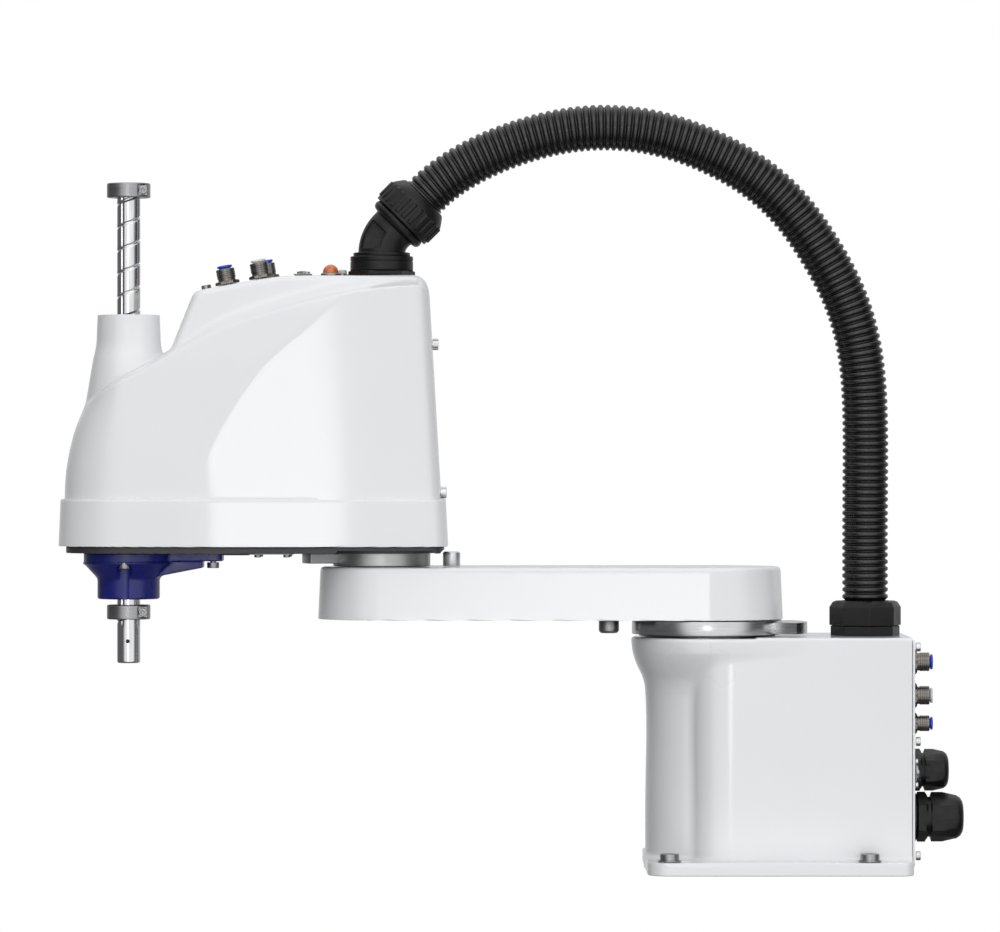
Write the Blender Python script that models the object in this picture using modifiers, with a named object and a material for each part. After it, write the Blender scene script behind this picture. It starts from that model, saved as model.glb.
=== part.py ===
"""A four-axis SCARA robot arm with a 400 mm reach and a 150 mm stroke.

Sizes and places below are in millimetres. The helpers turn them into metres. The origin is on the mounting
plane, on the first joint's axis. +Z is up, and the stretched arm points along -X.
"""

import math

import bmesh
import bpy
from mathutils import Matrix, Vector

MM = 0.001
FIT = 0.3  # the gap between pieces that touch
MERGE = 0.00001

# The joints' axes.
ARM_1 = 225
ARM_2 = 175
J2_X = -ARM_1
SHAFT_X = -(ARM_1 + ARM_2)

# The base.
FLANGE_LENGTH = 181
FLANGE_FRONT = -43
FLANGE_WIDTH = 150
FLANGE_TOP = 9
COLUMN_R = 42.6
HEAD_R = 52
HEAD_TOP = 160
BOX_FRONT = -8
BOX_CORNER_R = 22
BOX_BACK = FLANGE_FRONT + FLANGE_LENGTH
BOX_HALF_WIDTH = 55
BOLT_X = (-28, 108)
BOLT_Y = 64
PLATE_THICKNESS = 2.4
WALL = 5

# Heights, from the base up.
DISC_TOP = 171.6
ARM_1_BOTTOM = 172.8
ARM_1_TOP = 208.5
FRAME_BOTTOM = 217.9
FRAME_TOP = 222.3
COVER_BOTTOM = 222.6
RIM_TOP = 255.1
COVER_TOP = 409.3
NECK_TOP = 382.2
SHAFT_BOTTOM = 141.8
SHAFT_TOP = 473.3
BRACKET_BOTTOM = 266
BRACKET_TOP = 272

# The shaft and what turns round it.
SHAFT_R = 8
BORE_R = 5.5
NUT_BORE_R = SHAFT_R + FIT
COLLAR_R = 15
COLLAR_HEIGHT = 10
SPLINE_NUT_R = 16
SCREW_NUT_R = 17.4
DRIVEN_R = 22
MOTOR_PULLEY_R = 10
J4_PULLEY_Z = 238.5
J3_PULLEY_Z = 251.5
PULLEY_HEIGHT = 10
J3_MOTOR_X = -311
J4_MOTOR_X = -268
MOTOR_HALF = 20
MOTOR_HEIGHT = 70

# The conduit.
NUT_X = 109.3
HOSE_R = 15.8
HOSE_BORE_R = 12
ELBOW_R = 16.2
ELBOW_BEND_Z = 434
# Points chosen along the hose's centre, from the base nut, over the first joint, to the elbow's union nut.
HOSE_ROUTE = (
    (109.3, 185.1),
    (109.3, 250),
    (109.3, 310),
    (106.5, 351),
    (96, 392),
    (78, 427),
    (50.5, 463),
    (9, 492),
    (-46, 510),
    (-88, 511),
    (-129, 502),
    (-171, 483),
    (-191.3, 467.7),
    (-195.5, 463.5),
)

COLOURS = {
    "white_paint": ((0.83, 0.84, 0.84), 0.25, 0.0),
    "dark_casting": ((0.11, 0.11, 0.12), 0.5, 0.0),
    "steel": ((0.55, 0.55, 0.56), 0.3, 1.0),
    "dark_nickel": ((0.22, 0.22, 0.23), 0.3, 1.0),
    "black_steel": ((0.03, 0.03, 0.03), 0.45, 0.5),
    "aluminium": ((0.7, 0.71, 0.72), 0.4, 1.0),
    "blue_paint": ((0.03, 0.06, 0.22), 0.35, 0.0),
    "black_plastic": ((0.02, 0.02, 0.02), 0.45, 0.0),
    "black_rubber": ((0.03, 0.03, 0.03), 0.8, 0.0),
    "grey_plastic": ((0.6, 0.6, 0.58), 0.4, 0.0),
    "orange_lens": ((0.9, 0.3, 0.03), 0.15, 0.0),
}


# ---- Helpers ----


def new_collection(name, hidden=False):
    group = bpy.data.collections.new(name)
    group.hide_render = hidden
    bpy.context.scene.collection.children.link(group)
    return group


def material(name):
    found = bpy.data.materials.get(name)
    if found:
        return found
    colour, roughness, metallic = COLOURS[name]
    made = bpy.data.materials.new(name)
    made.use_nodes = True
    shader = made.node_tree.nodes["Principled BSDF"]
    shader.inputs["Base Color"].default_value = (*colour, 1)
    shader.inputs["Roughness"].default_value = roughness
    shader.inputs["Metallic"].default_value = metallic
    return made


def place(bm, name, at):
    """An object from a bmesh in millimetres, with its origin at the point at."""
    bmesh.ops.recalc_face_normals(bm, faces=bm.faces)
    bmesh.ops.scale(bm, vec=(MM, MM, MM), verts=bm.verts)
    mesh = bpy.data.meshes.new(name)
    bm.to_mesh(mesh)
    bm.free()
    obj = bpy.data.objects.new(name, mesh)
    obj.location = Vector(at) * MM
    PARTS.objects.link(obj)
    return obj


def turn_to(direction):
    """The rotation that takes +Z to the direction."""
    return Vector((0, 0, 1)).rotation_difference(Vector(direction)).to_euler()


def box(name, x, y, z):
    """A box between two limits on each axis."""
    bm = bmesh.new()
    size = (x[1] - x[0], y[1] - y[0], z[1] - z[0])
    bmesh.ops.create_cube(bm, size=1, matrix=Matrix.Diagonal((*size, 1)))
    return place(bm, name, ((x[0] + x[1]) / 2, (y[0] + y[1]) / 2, (z[0] + z[1]) / 2))


def rod(name, radius, length, at, along=(0, 0, 1), sides=24, end_radius=None):
    """A cylinder or cone that starts at the point at and runs along the direction."""
    bm = bmesh.new()
    bmesh.ops.create_cone(
        bm,
        cap_ends=True,
        segments=sides,
        radius1=radius,
        radius2=radius if end_radius is None else end_radius,
        depth=length,
        matrix=Matrix.Translation((0, 0, length / 2)),
    )
    obj = place(bm, name, at)
    obj.rotation_euler = turn_to(along)
    return obj


def turned(name, profile, at, along=(0, 0, 1), sides=32, closed=False):
    """A profile of (radius, height) points turned about the axis. Its outer side runs from top to bottom."""
    bm = bmesh.new()
    points = [bm.verts.new((radius, 0, height)) for radius, height in profile]
    pairs = list(zip(points, points[1:]))
    if closed:
        pairs.append((points[-1], points[0]))
    for pair in pairs:
        bm.edges.new(pair)
    obj = place(bm, name, at)
    obj.rotation_euler = turn_to(along)
    screw = obj.modifiers.new("Turn", "SCREW")
    screw.steps = screw.render_steps = sides
    screw.use_merge_vertices = True
    screw.merge_threshold = MERGE
    return obj


def ring(name, outer, inner, length, at, along=(0, 0, 1), sides=24):
    """A tube that starts at the point at and runs along the direction."""
    profile = [(outer, length), (outer, 0), (inner, 0), (inner, length)]
    return turned(name, profile, at, along, sides, closed=True)


def plate(name, outline, bottom, top, at=(0, 0, 0)):
    """A flat outline with straight sides between two heights."""
    curve = bpy.data.curves.new(name, "CURVE")
    curve.dimensions = "2D"
    curve.fill_mode = "BOTH"
    curve.extrude = (top - bottom) / 2 * MM
    spline = curve.splines.new("POLY")
    spline.points.add(len(outline) - 1)
    for point, (x, y) in zip(spline.points, outline):
        point.co = (x * MM, y * MM, 0, 1)
    spline.use_cyclic_u = True
    obj = bpy.data.objects.new(name, curve)
    obj.location = Vector((at[0], at[1], at[2] + (top + bottom) / 2)) * MM
    PARTS.objects.link(obj)
    return to_mesh(obj)


def to_mesh(curve_object):
    """The curve as a mesh object whose caps are welded, so that it can be cut and joined."""
    bpy.context.view_layer.update()
    graph = bpy.context.evaluated_depsgraph_get()
    mesh = bpy.data.meshes.new_from_object(curve_object.evaluated_get(graph))
    bm = bmesh.new()
    bm.from_mesh(mesh)
    bmesh.ops.remove_doubles(bm, verts=bm.verts, dist=MERGE)
    bmesh.ops.recalc_face_normals(bm, faces=bm.faces)
    bm.to_mesh(mesh)
    bm.free()
    name = curve_object.name
    matrix = curve_object.matrix_world.copy()
    bpy.data.objects.remove(curve_object)
    obj = bpy.data.objects.new(name, mesh)
    obj.matrix_world = matrix
    PARTS.objects.link(obj)
    return obj


def pipe(name, points, radius, resolution=4):
    """A round solid along a line of points."""
    curve = bpy.data.curves.new(name, "CURVE")
    curve.dimensions = "3D"
    curve.bevel_depth = radius * MM
    curve.bevel_resolution = resolution
    curve.use_fill_caps = True
    spline = curve.splines.new("POLY")
    spline.points.add(len(points) - 1)
    for point, place_at in zip(spline.points, points):
        point.co = (*(Vector(place_at) * MM), 1)
    obj = bpy.data.objects.new(name, curve)
    PARTS.objects.link(obj)
    return to_mesh(obj)


def loft(name, sections):
    """A closed solid through flat outlines at rising heights, each with the same number of points."""
    bm = bmesh.new()
    rings = []
    for height, outline in sections:
        rings.append([bm.verts.new((x, y, height)) for x, y in outline])
    for lower, upper in zip(rings, rings[1:]):
        count = len(lower)
        for i in range(count):
            j = (i + 1) % count
            bm.faces.new((lower[i], lower[j], upper[j], upper[i]))
    bm.faces.new(rings[0])
    bm.faces.new(rings[-1])
    return place(bm, name, (0, 0, 0))


def combine(obj, other, operation):
    """Joins the other solid to the object or cuts it away, and puts it with the cutters."""
    PARTS.objects.unlink(other)
    CUTTERS.objects.link(other)
    other.hide_render = True
    other.display_type = "WIRE"
    boolean = obj.modifiers.new(operation.title(), "BOOLEAN")
    boolean.operation = operation
    boolean.object = other
    return obj


def join(obj, *others):
    for other in others:
        combine(obj, other, "UNION")
    return obj


def cut(obj, *others):
    for other in others:
        combine(obj, other, "DIFFERENCE")
    return obj


def finish(obj, material_name, body):
    """Gives the piece its material and ties it to the empty on its joint's axis."""
    obj.data.materials.clear()
    obj.data.materials.append(material(material_name))
    if obj.type == "MESH":
        obj.data.shade_smooth()
        obj.data.set_sharp_from_angle(angle=math.radians(35))
    obj.parent = body
    obj.matrix_parent_inverse = body.matrix_world.inverted()
    return obj


def axis_empty(name, at):
    empty = bpy.data.objects.new(name, None)
    empty.location = Vector(at) * MM
    empty.empty_display_size = 0.03
    PARTS.objects.link(empty)
    bpy.context.view_layer.update()
    return empty


# ---- Outlines ----


def arc(centre, radius, start, end, count):
    """Points along a circle between two angles in degrees."""
    points = []
    for i in range(count + 1):
        angle = math.radians(start + (end - start) * i / count)
        points.append((centre[0] + radius * math.cos(angle), centre[1] + radius * math.sin(angle)))
    return points


def rounded_rectangle(x, y, left_radius, right_radius, count=4):
    corners = (
        (x[1] - right_radius, y[1] - right_radius, right_radius, 0),
        (x[0] + left_radius, y[1] - left_radius, left_radius, 90),
        (x[0] + left_radius, y[0] + left_radius, left_radius, 180),
        (x[1] - right_radius, y[0] + right_radius, right_radius, 270),
    )
    points = []
    for corner_x, corner_y, radius, start in corners:
        points += arc((corner_x, corner_y), radius, start, start + 90, count)
    return points


def belt_outline(left_x, left_radius, right_x, right_radius, count=12):
    """The outline of a band drawn tight round two circles on the X axis."""
    lean = math.degrees(math.asin((left_radius - right_radius) / (right_x - left_x)))
    left = arc((left_x, 0), left_radius, 90 - lean, 270 + lean, count)
    right = arc((right_x, 0), right_radius, -90 + lean, 90 - lean, count)
    return left + right


def sector(inner, outer, half_angle, towards, count=8):
    """A piece of a ring about the origin, to both sides of a direction in degrees."""
    far = arc((0, 0), outer, towards - half_angle, towards + half_angle, count)
    near = arc((0, 0), inner, towards + half_angle, towards - half_angle, count)
    return far + near


# ---- Base ----


def base_casting(body):
    outline = rounded_rectangle(
        (FLANGE_FRONT, BOX_BACK - FIT), (-FLANGE_WIDTH / 2, FLANGE_WIDTH / 2), 14.5, 8.5
    )
    obj = plate("base_casting", outline, 0, FLANGE_TOP)
    column = turned(
        "column",
        [
            (0, HEAD_TOP),
            (HEAD_R, HEAD_TOP),
            (HEAD_R, 151),
            (50.7, 146.5),
            (47.6, 138.5),
            (45, 133),
            (43.2, 127),
            (COLUMN_R, 121),
            (COLUMN_R, 4),
            (0, 4),
        ],
        (0, 0, 0),
        sides=48,
    )
    side = (-BOX_HALF_WIDTH, BOX_HALF_WIDTH)
    box_outline = rounded_rectangle((BOX_FRONT, BOX_BACK - FIT), side, BOX_CORNER_R, 1)
    cable_box = plate("cable_box", box_outline, 4, HEAD_TOP + 0.5)
    room_side = (-BOX_HALF_WIDTH + WALL, BOX_HALF_WIDTH - WALL)
    room = box("room", (24, BOX_BACK + 5), room_side, (FLANGE_TOP, 154))
    motor_room = rod("motor_room", 38.3, 140.6, (0, 0, FLANGE_TOP + 2), sides=32)
    mouth = rod("mouth", 39.3, 20, (0, 0, 150.6), sides=32)
    cable_hole = rod("cable_hole", 17, 20, (NUT_X, 0, 148))
    join(obj, column, cable_box)
    cut(obj, room, motor_room, mouth, cable_hole)
    for x in BOLT_X:
        for y in (-BOLT_Y, BOLT_Y):
            cut(obj, rod("bolt_hole", 4.5, 20, (x, y, -5), sides=16))
    return finish(obj, "white_paint", body)


def connector_plate(body):
    outline = rounded_rectangle((5, 159), (-BOX_HALF_WIDTH + 1, BOX_HALF_WIDTH - 1), 3, 3, 2)
    obj = plate("connector_plate", outline, BOX_BACK, BOX_BACK + PLATE_THICKNESS)
    # The outline is drawn flat, and this stands it up facing +X.
    obj.rotation_euler = (0, -math.pi / 2, math.pi)
    obj.location = (obj.location.z, 0, 0)
    for _, z, y, radius in (FITTINGS_BASE + GLANDS):
        cut(obj, rod("plate_hole", radius, 12, (BOX_BACK - 5, y, z), (1, 0, 0), 16))
    opening = box("connector_hole", (BOX_BACK - 5, BOX_BACK + 7), (-37, -15), (60, 76))
    cut(obj, opening)
    return finish(obj, "white_paint", body)


# Each fitting on the base: its name, height, place across and the radius of its hole.
FITTINGS_BASE = (
    ("base_air_fitting_1", 143.5, -26, 4.3),
    ("base_air_fitting_2", 120.5, -26, 4.3),
    ("base_air_fitting_3", 101.3, -26, 3.3),
)
GLANDS = (("signal_cable_gland", 67.4, 24, 9.3), ("power_cable_gland", 35.2, 14, 11.3))


def air_fitting(name, at, along, body_r, tube_r, body):
    """A push-in fitting: a threaded end, a hexagon, a round body and a release ring, with a through bore."""
    thread = body_r * 0.62
    outer = [
        (body_r * 0.8, 13.4),
        (body_r * 0.8, 11.3),
        (body_r, 11),
        (body_r, 2.8),
        (body_r * 1.3, 2.4),
        (body_r * 1.3, FIT),
        (thread, FIT),
        (thread, -5),
        (tube_r, -5),
        (tube_r, 13.4),
    ]
    obj = turned(name, outer, at, along, 16, closed=True)
    return finish(obj, "dark_nickel", body)


def d_connector(name, at, towards, body):
    """A 15-pin connector that lies along Y: a flange, a shell that stands proud and two jack screws."""
    x, y, z = at

    def across(near, far, half):
        """Limits on X and Z of a layer between two distances out along the direction it faces."""
        if towards == "X":
            return (x + near, x + far), (z - half, z + half)
        return (x - half, x + half), (z + near, z + far)

    flange_x, flange_z = across(FIT, 1, 6.3)
    obj = box(name, flange_x, (y - 19.5, y + 19.5), flange_z)
    shell_x, shell_z = across(-4.5, 2.7, 4.3)
    join(obj, box("shell", shell_x, (y - 10, y + 10), shell_z))
    direction = (1, 0, 0) if towards == "X" else (0, 0, 1)
    for shift in (-16.6, 16.6):
        foot = Vector((x, y + shift, z)) + Vector(direction) * 0.5
        join(obj, rod("jack_screw", 2.6, 2.3, foot, direction, 6))
    return finish(obj, "dark_nickel", body)


def cable_gland(name, at, hex_r, dome_r, length, bore, neck, body):
    """A cable gland: a thread, a hexagon and a domed cap round a through bore."""
    outer = [
        (dome_r * 0.55, length),
        (dome_r * 0.86, length - 1.5),
        (dome_r, length - 5),
        (dome_r, 10),
        (hex_r * 0.9, 9.5),
        (hex_r * 0.9, FIT),
        (neck, FIT),
        (neck, -9),
        (bore, -9),
        (bore, length),
    ]
    obj = turned(name, outer, at, (1, 0, 0), 20, closed=True)
    return finish(obj, "black_plastic", body)


def mounting_bolt(index, x, y, body):
    """An M8 low head socket screw with its washer."""
    top = FLANGE_TOP + FIT
    profile = [
        (0, top + 2.5),
        (3.3, top + 2.5),
        (3.3, top + 5.3),
        (6.1, top + 5.3),
        (6.5, top + 4.9),
        (6.5, top + 0.9),
        (8, top + 0.9),
        (8, top),
        (4, top),
        (4, 0.5),
        (0, 0.5),
    ]
    obj = turned(f"mounting_bolt_{index}", profile, (x, y, 0), sides=16)
    return finish(obj, "black_steel", body)


def j1_stop_flange(body):
    disc = [(HEAD_R, DISC_TOP), (HEAD_R, 162), (47, 162), (47, 160.8), (22, 160.8), (22, DISC_TOP)]
    obj = turned("j1_stop_flange", disc, (0, 0, 0), sides=48, closed=True)
    lug = plate("lug", sector(40, 69.2, 30, 0, 12), 163, DISC_TOP - 0.2)
    join(obj, lug)
    return finish(obj, "steel", body)


def drive_motor(name, x, half, bottom, height, shaft_r, body, depth=9, up=False):
    """A servo motor with chamfered corners and a blind bore for its shaft."""
    corner = half * 0.18
    outline = rounded_rectangle((-half, half), (-half, half), corner, corner, 1)
    obj = plate(name, outline, bottom, bottom + height, (x, 0, 0))
    start = bottom + height - depth if up else bottom - 1
    cut(obj, rod("shaft_bore", shaft_r + FIT, depth + 1, (x, 0, start), sides=16))
    return finish(obj, "black_steel", body)


def reducer_ring(name, x, bottom, height, outer, body):
    obj = ring(name, outer, 21.5, height, (x, 0, bottom), sides=32)
    return finish(obj, "steel", body)


def output_cup(name, x, low, high, floor, opens_up, body):
    """The reducer's cup, closed at the end that drives the arm."""
    if opens_up:
        profile = [(0, low + floor), (19.4, low + floor), (19.4, high), (21.2, high), (21.2, low), (0, low)]
    else:
        profile = [(0, high), (21.2, high), (21.2, low), (19.4, low), (19.4, high - floor), (0, high - floor)]
    obj = turned(name, profile, (x, 0, 0), sides=32)
    return finish(obj, "steel", body)


def wave_shaft(name, x, disc, shaft, body):
    """A motor shaft with the reducer's wave generator on its end."""
    obj = rod(name, 18.6, disc[1] - disc[0], (x, 0, disc[0]), sides=32)
    join(obj, rod("shaft", 6, shaft[1] - shaft[0], (x, 0, shaft[0]), sides=16))
    return finish(obj, "steel", body)


def conduit_base_nut(body):
    obj = ring("conduit_base_nut", 24, HOSE_BORE_R, 8.2, (NUT_X, 0, HEAD_TOP + 0.8), sides=32)
    profile = [(20.2, 184.8), (25, 180), (25, 168), (HOSE_BORE_R, 168), (HOSE_BORE_R, 184.8)]
    nut = turned("nut", profile, (NUT_X, 0, 0), sides=8, closed=True)
    nut.rotation_euler.z = math.radians(90)
    join(obj, nut)
    return finish(obj, "black_plastic", body)


def smooth_route(points, step):
    """Points about a step apart on a smooth curve through the route's own points."""
    ends = [points[0] * 2 - points[1], *points, points[-1] * 2 - points[-2]]
    route = []
    for a, b, c, d in zip(ends, ends[1:], ends[2:], ends[3:]):
        count = max(1, round((c - b).length / step))
        for i in range(count):
            t = i / count
            route.append(
                0.5
                * (
                    2 * b
                    + (c - a) * t
                    + (2 * a - 5 * b + 4 * c - d) * t**2
                    + (3 * b - a - 3 * c + d) * t**3
                )
            )
    route.append(points[-1])
    return route


def conduit_hose(body):
    points = [Vector((x, 0, z)) for x, z in HOSE_ROUTE]
    obj = pipe("conduit_hose", smooth_route(points, 22), HOSE_R, 3)
    return finish(obj, "black_plastic", body)


def build_base(body, motor_1):
    base_casting(body)
    connector_plate(body)
    drive_motor("j1_motor", 0, 25, 55, 84.7, 6, body, depth=12, up=True)
    reducer_ring("j1_reducer", 0, 140, 20.3, 38, body)
    j1_stop_flange(body)
    index = 0
    for x in BOLT_X:
        for y in (-BOLT_Y, BOLT_Y):
            index += 1
            mounting_bolt(index, x, y, body)
    face = BOX_BACK + PLATE_THICKNESS
    for (name, z, y, _), body_r, tube_r in zip(FITTINGS_BASE, (6.4, 6.4, 5.2), (3, 3, 2)):
        air_fitting(name, (face, y, z), (1, 0, 0), body_r, tube_r, body)
    d_connector("base_user_connector", (face, -26, 68), "X", body)
    for (name, z, y, hole), hex_r, dome_r, length, bore in zip(
        GLANDS, (14.7, 17.3), (13, 15), (28.3, 37.6), (5.2, 7.2)
    ):
        cable_gland(name, (face, y, z), hex_r, dome_r, length, bore, hole - FIT, body)
    conduit_base_nut(body)
    conduit_hose(body)
    wave_shaft("j1_motor_shaft", 0, (143, 153), (128.2, 144), motor_1)


# ---- Arm 1 ----


def arm1_casting(body):
    def outline(j2_radius, j1_radius):
        return belt_outline(J2_X, j2_radius, 0, j1_radius, 16)

    obj = loft(
        "arm1_casting",
        [
            (ARM_1_BOTTOM, outline(43, 51.4)),
            (ARM_1_BOTTOM + 1.2, outline(43.9, 52.3)),
            (ARM_1_TOP - 2, outline(42.7, 50.6)),
            (ARM_1_TOP, outline(41.6, 49.5)),
        ],
    )
    cavity = plate("cavity", rounded_rectangle((-182, -34), (-33, 33), 6, 6), 170, 203)
    recess = plate("recess", rounded_rectangle((-186, -30), (-37, 37), 7, 7), 170, 175.1)
    cut(obj, cavity, recess)
    return finish(obj, "white_paint", body)


def build_arm1(body):
    arm1_casting(body)
    outline = rounded_rectangle((-186 + FIT, -30 - FIT), (-37 + FIT, 37 - FIT), 7, 7)
    finish(plate("arm1_bottom_cover", outline, 173.1, 174.8), "dark_casting", body)
    output_cup("j1_reducer_output", 0, 141, ARM_1_BOTTOM - FIT, 14, False, body)
    output_cup("j2_reducer_output", J2_X, ARM_1_TOP + FIT, 226.5, 4, True, body)
    pin = [(0, 172.5), (7, 172.5), (7, 163.8), (5.6, 162.4), (0, 162.4)]
    finish(turned("j1_stop_pin", pin, (-67.9, 0, 0), sides=20), "steel", body)
    pin = [(0, 218.8), (3.4, 218.2), (5.4, 216.4), (6, 214), (6, 208.8), (0, 208.8)]
    finish(turned("j2_stop_pin", pin, (-176.7, 0, 0), sides=20), "steel", body)


# ---- Arm 2 ----


def cover_outline(nose_r, half_width, panel_x, rear_x, corner_r):
    """A plan of the second arm's cover: a round nose about the shaft, and rounded rear corners."""
    nose = arc((SHAFT_X, 0), nose_r, 100, 260, 10)
    corner_x = rear_x - corner_r
    corner_y = half_width - corner_r
    near = [(panel_x, -half_width)] + arc((corner_x, -corner_y), corner_r, 270, 360, 4)
    far = arc((corner_x, corner_y), corner_r, 0, 90, 4) + [(panel_x, half_width)]
    return nose + near + far


# The cover's plans: height, nose radius, half width, where the flat side begins, and the rear face.
LOWER_PLANS = (
    (254, 44, 50.5, -344, -184.2),
    (274, 43, 50.3, -342.5, -185.5),
    (290, 40.2, 50.1, -339, -186.5),
    (306, 36, 49.9, -332.5, -187.2),
    (320, 30.3, 49.7, -325, -187.9),
    (331, 28, 49.5, -319, -188.4),
    (345, 25.5, 49.2, -307, -189.2),
    (357, 23.4, 48.9, -297, -189.8),
)
REAR_CORNER_R = 12


def cover_lower(inset):
    sections = []
    for height, nose_r, half_width, panel_x, rear_x in LOWER_PLANS:
        if inset and height == LOWER_PLANS[0][0]:
            height = COVER_BOTTOM - 5
        if inset and height == LOWER_PLANS[-1][0]:
            height -= inset
        outline = cover_outline(
            nose_r - inset, half_width - inset, panel_x, rear_x - inset, REAR_CORNER_R - inset
        )
        sections.append((height, outline))
    return loft("cover_lower", sections)


def cover_upper(inset):
    """The housing behind the neck, narrower towards its top."""
    sections = []
    for height, front_x, front_half, half_width, rear_x in (
        (330, -371, 30, 49.3, -188.5),
        (357, -368.5, 30, 48.8, -190),
        (396, -353.5, 29, 45, -192.3),
        (399.4, -349, 29, 43, -193),
        (COVER_TOP, -294, 27, 36, -199),
    ):
        side_x = front_x + 50
        corner = REAR_CORNER_R - inset
        half = half_width - inset
        rear = rear_x - inset
        front = front_x + inset
        outline = [(front, front_half - inset), (front, inset - front_half), (side_x, -half)]
        outline += arc((rear - corner, -half + corner), corner, 270, 360, 4)
        outline += arc((rear - corner, half - corner), corner, 0, 90, 4)
        outline += [(side_x, half)]
        if inset and height == COVER_TOP:
            height -= inset
        sections.append((height, outline))
    return loft("cover_upper", sections)


SLOPE_LEAN = math.radians(10.2)
SLOPE_NORMAL = (-math.sin(SLOPE_LEAN), 0, math.cos(SLOPE_LEAN))


def slope_z(x):
    """The height of the cover's sloping top."""
    return min(COVER_TOP, 399.4 + (x + 349) * math.tan(SLOPE_LEAN))


# Each fitting on the cover: its name, place along, place across, body radius and tube radius.
FITTINGS_ARM = (
    ("arm_air_fitting_1", -330.6, -16, 6.4, 3),
    ("arm_air_fitting_2", -307.4, -16, 6.4, 3),
    ("arm_air_fitting_3", -303, 14, 5.2, 2),
)
CONNECTOR_X = -279
LAMP_X = -260.3
BUTTON_X = -252.4
BUTTON_Y = 12
TOP_SCREW_X = -346
COVER_SCREWS = (("cover_screw_upper", -190.1, 362), ("cover_screw_lower", -184.4, 259.5))


def arm2_cover(body):
    rim = plate(
        "arm2_cover", cover_outline(47.5, 52, -345, -180, REAR_CORNER_R + 2), COVER_BOTTOM, RIM_TOP
    )
    neck = rod("neck", 21.6, NECK_TOP - 330, (SHAFT_X, 0, 330), sides=32, end_radius=21.2)
    join(rim, cover_lower(0), cover_upper(0), neck)
    cut(rim, cover_lower(3), cover_upper(3))
    cut(rim, rod("neck_bore", 17, 90, (SHAFT_X, 0, 300)))
    cut(rim, rod("conduit_hole", 13, 20, (J2_X, 0, 398)))
    for _, x, y, radius, _ in FITTINGS_ARM:
        start = Vector((x, y, slope_z(x))) - Vector(SLOPE_NORMAL) * 14
        cut(rim, rod("fitting_hole", radius * 0.62 + FIT, 20, start, SLOPE_NORMAL, 16))
    cut(rim, box("connector_hole", (CONNECTOR_X - 5, CONNECTOR_X + 5), (-11, 11), (395, 420)))
    cut(rim, rod("lamp_hole", 4.3, 30, (LAMP_X, 0, 395), sides=16))
    cut(rim, rod("button_hole", 2.6, 30, (BUTTON_X, BUTTON_Y, 395), sides=16))
    cut(rim, rod("top_screw_hole", 2.3, 24, (TOP_SCREW_X, 0, 385), sides=12))
    for _, x, z in COVER_SCREWS:
        cut(rim, rod("screw_hole", 2.3, 20, (x - 10, 0, z), (1, 0, 0), 12))
    return finish(rim, "white_paint", body)


def arm2_frame(body):
    outline = cover_outline(43, 49.5, -345, -182, REAR_CORNER_R)
    obj = plate("arm2_frame", outline, FRAME_BOTTOM, FRAME_TOP)
    join(obj, rod("boss", 33, 12, (J2_X, 0, 208.9), sides=40))
    groove = plate("pin_groove", sector(40.5, 57, 150, 0, 30), 215, 220, (J2_X, 0, 0))
    cut(obj, groove)
    cut(obj, rod("reducer_bore", 29.3, 30, (J2_X, 0, 200), sides=32))
    cut(obj, rod("nut_hole", 18, 30, (SHAFT_X, 0, 200), sides=24))
    return finish(obj, "dark_casting", body)


def spline_housing(body):
    profile = [
        (31, 217.6),
        (31, 210),
        (21.5, 200.2),
        (21.5, 186),
        (9.5, 186),
        (9.5, 189),
        (16.3, 189),
        (16.3, 217.6),
    ]
    obj = turned("spline_housing", profile, (SHAFT_X, 0, 0), sides=32, closed=True)
    foot = box("foot", (SHAFT_X + 20, -334.4), (-13, 13), (211.6, 217.6))
    join(obj, foot)
    for x, y in HOUSING_BOLTS:
        cut(obj, rod("bolt_hole", 2.6, 30, (x, y, 195), sides=12))
        cut(obj, rod("notch", 5.2, HOUSING_NOTCH_TOP - 195, (x, y, 195), sides=16))
    return finish(obj, "blue_paint", body)


HOUSING_BOLTS = ((-341.6, 0), (-401, -26))
HOUSING_NOTCH_TOP = 211.6


def small_screw(name, head_r, head, shank_r, shank, at, along, body):
    """A socket screw whose head's underside is at the point at."""
    profile = [(0, head), (head_r, head), (head_r, 0), (shank_r, 0), (shank_r, -shank), (0, -shank)]
    obj = turned(name, profile, at, along, 12)
    return finish(obj, "steel", body)


def belt(name, motor_x, low, high, body):
    def loop(extra):
        return belt_outline(SHAFT_X, DRIVEN_R + extra, motor_x, MOTOR_PULLEY_R + extra, 12)

    obj = plate(name, loop(FIT + 1.5), low, high)
    cut(obj, plate("inside", loop(FIT), low - 1, high + 1))
    return finish(obj, "black_rubber", body)


def drive_bracket(body):
    obj = box("drive_bracket", (-421, -248), (-28, 28), (BRACKET_BOTTOM, BRACKET_TOP))
    for x in (-360, -305):
        for side in (-1, 1):
            y = sorted((side * 24.6, side * 28))
            join(obj, box("leg", (x, x + 18), y, (FRAME_TOP + FIT, BRACKET_BOTTOM + 1)))
    cut(obj, rod("nut_hole", SCREW_NUT_R + FIT, 20, (SHAFT_X, 0, 260), sides=32))
    for x in (J3_MOTOR_X, J4_MOTOR_X):
        cut(obj, rod("shaft_hole", 6, 20, (x, 0, 260), sides=16))
    return finish(obj, "aluminium", body)


def conduit_socket(body):
    """The fixed half of the swivel: a hexagon lock nut on the cover and a round socket above it."""
    obj = ring("conduit_socket", 23, 13, 3.1, (J2_X, 0, COVER_TOP + FIT), sides=6)
    join(obj, ring("socket", 21.7, 13, 10.4, (J2_X, 0, 412.4), sides=32))
    return finish(obj, "black_plastic", body)


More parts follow.
